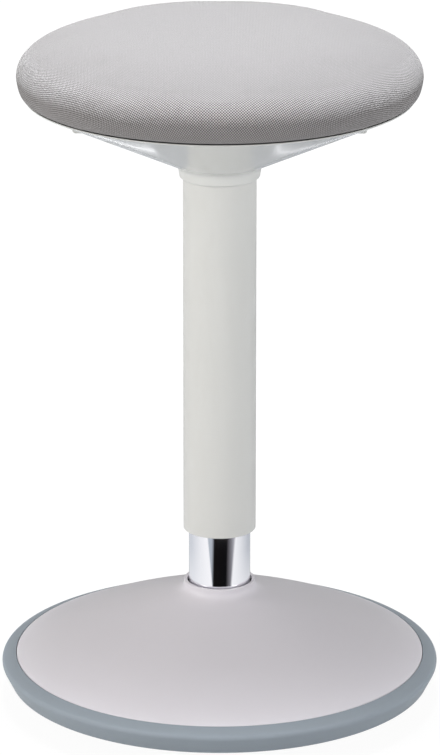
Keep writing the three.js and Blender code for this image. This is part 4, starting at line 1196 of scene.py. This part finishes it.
    def grow(self, piece, cushion, start, way):
        """Quick stand-in for the swelling: each point moves out along its normal, less and less over the
        last of its way to the seam."""
        fade = np.clip(way / cushion.fade, 0, 1)[:, None]
        return start + read(piece.data.vertices, "normal") * cushion.cap * fade


# Stage

class STOOL_OT_stage(StoolWork, bpy.types.Operator):
    """Sets the pale floor, the mirror-only sheets that paint reflections in the chrome and the cowl, the
    lamps, the room and the camera
    """
    bl_idname = "stool.stage"
    bl_label = "Stage"

    def floor(self, studio):
        """A flat disc whose look is mostly plain white to the camera and to mirrors, a little brighter
        away from the lamps, and which otherwise takes light and shadow."""
        edge = studio.floor_radius
        disc = turned("floor", [(0, -0.01), (edge, -0.01), (edge, 0), (0, 0)], 96)
        made = Finish("floor_paint")
        x, y, _ = made.axes()
        away = from_axis(x, y)
        plain = made.node("ShaderNodeBsdfDiffuse", None, {"Color": linear(studio.floor)})
        level = made.blend((away - studio.lamp_reach) / studio.lamp_reach, (1.06, 1.06, 1.06),
                           (1.12, 1.12, 1.12))
        made.mixed(made.in_view() * studio.backdrop, plain, made.glow(level))
        disc.data.materials.append(made.material)

    def card(self, name, outline, level, cover, tint):
        """A card on the floor that only mirrors see, glowing with its tint, so it paints a reflection.
        Its cover, from 0 to 1, is a number made from the place on the floor, so its edges can be soft."""
        piece = piece_of(name, [(x, y, level) for x, y in outline], [range(len(outline))])
        for kind in ("camera", "diffuse", "transmission", "volume_scatter", "shadow"):
            setattr(piece, f"visible_{kind}", False)
        made = Finish(name)
        x, y, _ = made.axes()
        away = from_axis(x, y)
        shade = made.glow(tint(made, x, y, away))
        made.mixed(cover(x, y, away), made.node("ShaderNodeBsdfTransparent"), shade)
        piece.data.materials.append(made.material)

    def painted_reflections(self):
        """Painted reflections on sheets that only mirrors see: a dark card in front paints the band in the
        chrome, a narrow dark one behind, a grey ground behind paints the cowl's tone, and two glowing
        strips on it paint the cowl's highlight streaks."""
        inner, outer = 0.255, 0.415  # the front card's edges
        bend = 0.4067  # where its sides are measured
        ground_edge, far_edge = 0.42, 1.15  # where the ground's near tone and its middle tone end

        def soft(value, edge):
            return (value / edge).held()

        def turn(x, y):
            return x.maths("ARCTAN2", x, 0 - y)

        def front_cover(x, y, away):
            """Wide at the far edge and narrow at the near one, in angle round the column."""
            drop = bend - away
            left = soft(0.81 - 2.6 * drop + turn(x, y), 0.08)
            right = soft(1.10 - 2.4 * drop - turn(x, y), 0.14)
            return left * right * soft(outer - away, 0.004) * soft(away - inner, 0.01)

        # Glow of the dark card: a painted dark band in the chrome, with paler painted reflection at its
        # ends.
        def front_tint(made, x, y, away):
            place = (turn(x, y) + 0.55 + 0.5 * (bend - away)) / 1.5
            return made.ramp(place, (0.0, (0.50, 0.55, 0.60)), (0.045, (0.46, 0.50, 0.55)),
                             (0.15, (0.008, 0.007, 0.007)), (0.67, (0.005, 0.005, 0.006)),
                             (0.77, (0.11, 0.105, 0.115)), (0.89, (0.25, 0.25, 0.27)),
                             (1.0, (0.45, 0.45, 0.48)))

        def back_cover(x, y, away):
            return soft(0.43 - away, 0.02) * soft(y - 0.24, 0.02) * soft(0.11 - x.size(), 0.03)

        def ground_cover(x, y, away):
            return soft(y + 0.25, 0.5) * soft(away - 0.16, 0.2)

        def strip(x, y, half, side, slant, start, first):
            """A strip of this half width along x = side + slant (y - start), seen from first on: the mask
            of a painted highlight streak.
            """
            across = (x - side - slant * (y - start)).size()
            return soft(half - across, 0.004) * soft(y - first, 0.03) * soft(1.35 - y, 0.1)

        # Glow of the ground: a painted grey reflection in the cowl, lighter to the left and far off.
        def ground_tint(made, x, y, away):
            near = made.blend(soft(x + 0.1, 0.2), (0.69, 0.72, 0.76), (0.55, 0.58, 0.62))
            middle = made.blend(soft(x, 0.25), (0.50, 0.52, 0.55), (0.35, 0.37, 0.40))
            far = made.blend(soft(away - far_edge, 0.3), middle, (0.66, 0.68, 0.70))
            grey = made.blend(soft(away - ground_edge, 0.12), near, far)
            # Two strips glow 4 and 2.8 times as bright as white: painted highlight streaks in the cowl.
            left = strip(x, y, 0.0045, -0.104, -0.235, 0.70, 0.705)
            right = strip(x, y, 0.0038, 0.088, 0.19, 0.63, 0.62)
            lit = made.blend(left, grey, (4.0, 4.0, 4.1))
            return made.blend(right, lit, (2.8, 2.8, 2.9))

        # Glow of the card behind: a painted dark reflection.
        def dark_tint(made, x, y, away):
            return (0.05, 0.05, 0.055)

        # Each sheet glows only for mirrors: a painted reflection.
        for name, low, high, level, cover, tint in (
                ("ground_card", (-2.5, -0.3), (2.5, 2.5), 0.001, ground_cover, ground_tint),
                ("dark_card_front", (-0.45, -0.45), (0.45, -0.1), 0.002, front_cover, front_tint),
                ("dark_card_back", (-0.2, 0.2), (0.2, 0.45), 0.002, back_cover, dark_tint)):
            self.card(name, [low, (high[0], low[1]), high, (low[0], high[1])], level, cover, tint)

    def lamp(self, name, place, target, size, power, tint):
        """A soft lamp that looks at its target, and that the camera doesn't see."""
        light = bpy.data.lights.new(name, "AREA")
        light.shape, light.size, light.size_y, light.energy, light.color = "RECTANGLE", *size, power, tint
        lamp = bpy.data.objects.new(name, light)
        lamp.visible_camera = False
        bpy.context.scene.collection.objects.link(lamp)
        aim = (Vector(target) - Vector(place)).to_track_quat("-Z", "Y")
        lamp.matrix_world = Matrix.Translation(place) @ aim.to_matrix().to_4x4()

    def room(self, studio):
        """The room lights the stool evenly, and is white to the camera and to mirrors."""
        world = bpy.data.worlds.new("room")
        world.use_nodes = True
        made = Nodes(world.node_tree)
        even, white = [made.node("ShaderNodeBackground", None, {"Color": tint, "Strength": strength})
                       for tint, strength in (((0.99, 0.98, 0.97), studio.sky), ((1, 1, 1), 1.0))]
        made.mixed(made.in_view(), even, white, "ShaderNodeOutputWorld")
        bpy.context.scene.world = world

    def execute(self, context):
        scene, studio = context.scene, context.scene.stool_studio
        self.floor(studio)
        self.painted_reflections()
        warm, cool, bluish = (1.0, 0.98, 0.955), (0.98, 0.985, 1.0), (0.932, 0.963, 1.0)
        for name, place, height, size, tint in (
                ("top", (0.0, 0.03, 2.2), 0.45, (0.3, 0.4), bluish),
                ("crown", (0.0, -0.1, 2.2), 0.45, (0.5, 0.5), bluish),
                ("left", (-2.6, -0.6, 2.2), 0.2, (1.0, 1.0), warm),
                ("side", (-2.6, -1.6, 1.0), 0.2, (1.3, 1.0), warm),
                ("right", (2.6, -1.6, 1.2), 0.3, (1.3, 1.3), cool)):
            self.lamp(name, place, (0, 0, height), size, getattr(studio, name), tint)
        self.room(studio)
        camera = bpy.data.cameras.new("camera")
        camera.sensor_fit, camera.sensor_height, camera.lens = "VERTICAL", 36, studio.lens
        camera.clip_end = 50
        view = bpy.data.objects.new("camera", camera)
        scene.collection.objects.link(view)
        view.matrix_world = (Matrix.Translation((studio.shift, -studio.distance, studio.height))
                             @ Matrix.Rotation(studio.tilt, 4, "X") @ Matrix.Rotation(studio.roll, 4, "Z"))
        scene.camera = view
        scene.view_settings.view_transform = "Standard"
        return {"FINISHED"}


# Panel and registration

STEPS = (STOOL_OT_finishes, STOOL_OT_base, STOOL_OT_column, STOOL_OT_cowl, STOOL_OT_levers,
         STOOL_OT_screws, STOOL_OT_cushion, STOOL_OT_stage)


class STOOL_PT_panel(bpy.types.Panel):
    """Lists the steps of dressing the stool"""
    bl_idname = "STOOL_PT_panel"
    bl_label = "Wobble Stool"
    bl_space_type = "VIEW_3D"
    bl_region_type = "UI"
    bl_category = "Stool"

    def draw(self, context):
        for step in STEPS:
            self.layout.operator(step.bl_idname)
        for group in GROUPS:
            settings = getattr(context.scene, group)
            box = self.layout.box()
            for name in settings.bl_rna.properties.keys():
                if name not in ("rna_type", "name"):
                    box.prop(settings, name)


GROUPS = {"stool_shape": StoolShape, "stool_cushion": StoolCushion, "stool_colours": StoolColours,
          "stool_studio": StoolStudio}
CLASSES = (*GROUPS.values(), *STEPS, STOOL_PT_panel)


def register():
    for item in CLASSES:
        bpy.utils.register_class(item)
    for name, group in GROUPS.items():
        setattr(bpy.types.Scene, name, PointerProperty(type=group))


def unregister():
    for name in GROUPS:
        delattr(bpy.types.Scene, name)
    for item in reversed(CLASSES):
        bpy.utils.unregister_class(item)


def main():
    """Dresses the stool step by step."""
    register()
    for step in STEPS:
        area, name = step.bl_idname.split(".")
        getattr(getattr(bpy.ops, area), name)()


if __name__ == "__main__":
    main()
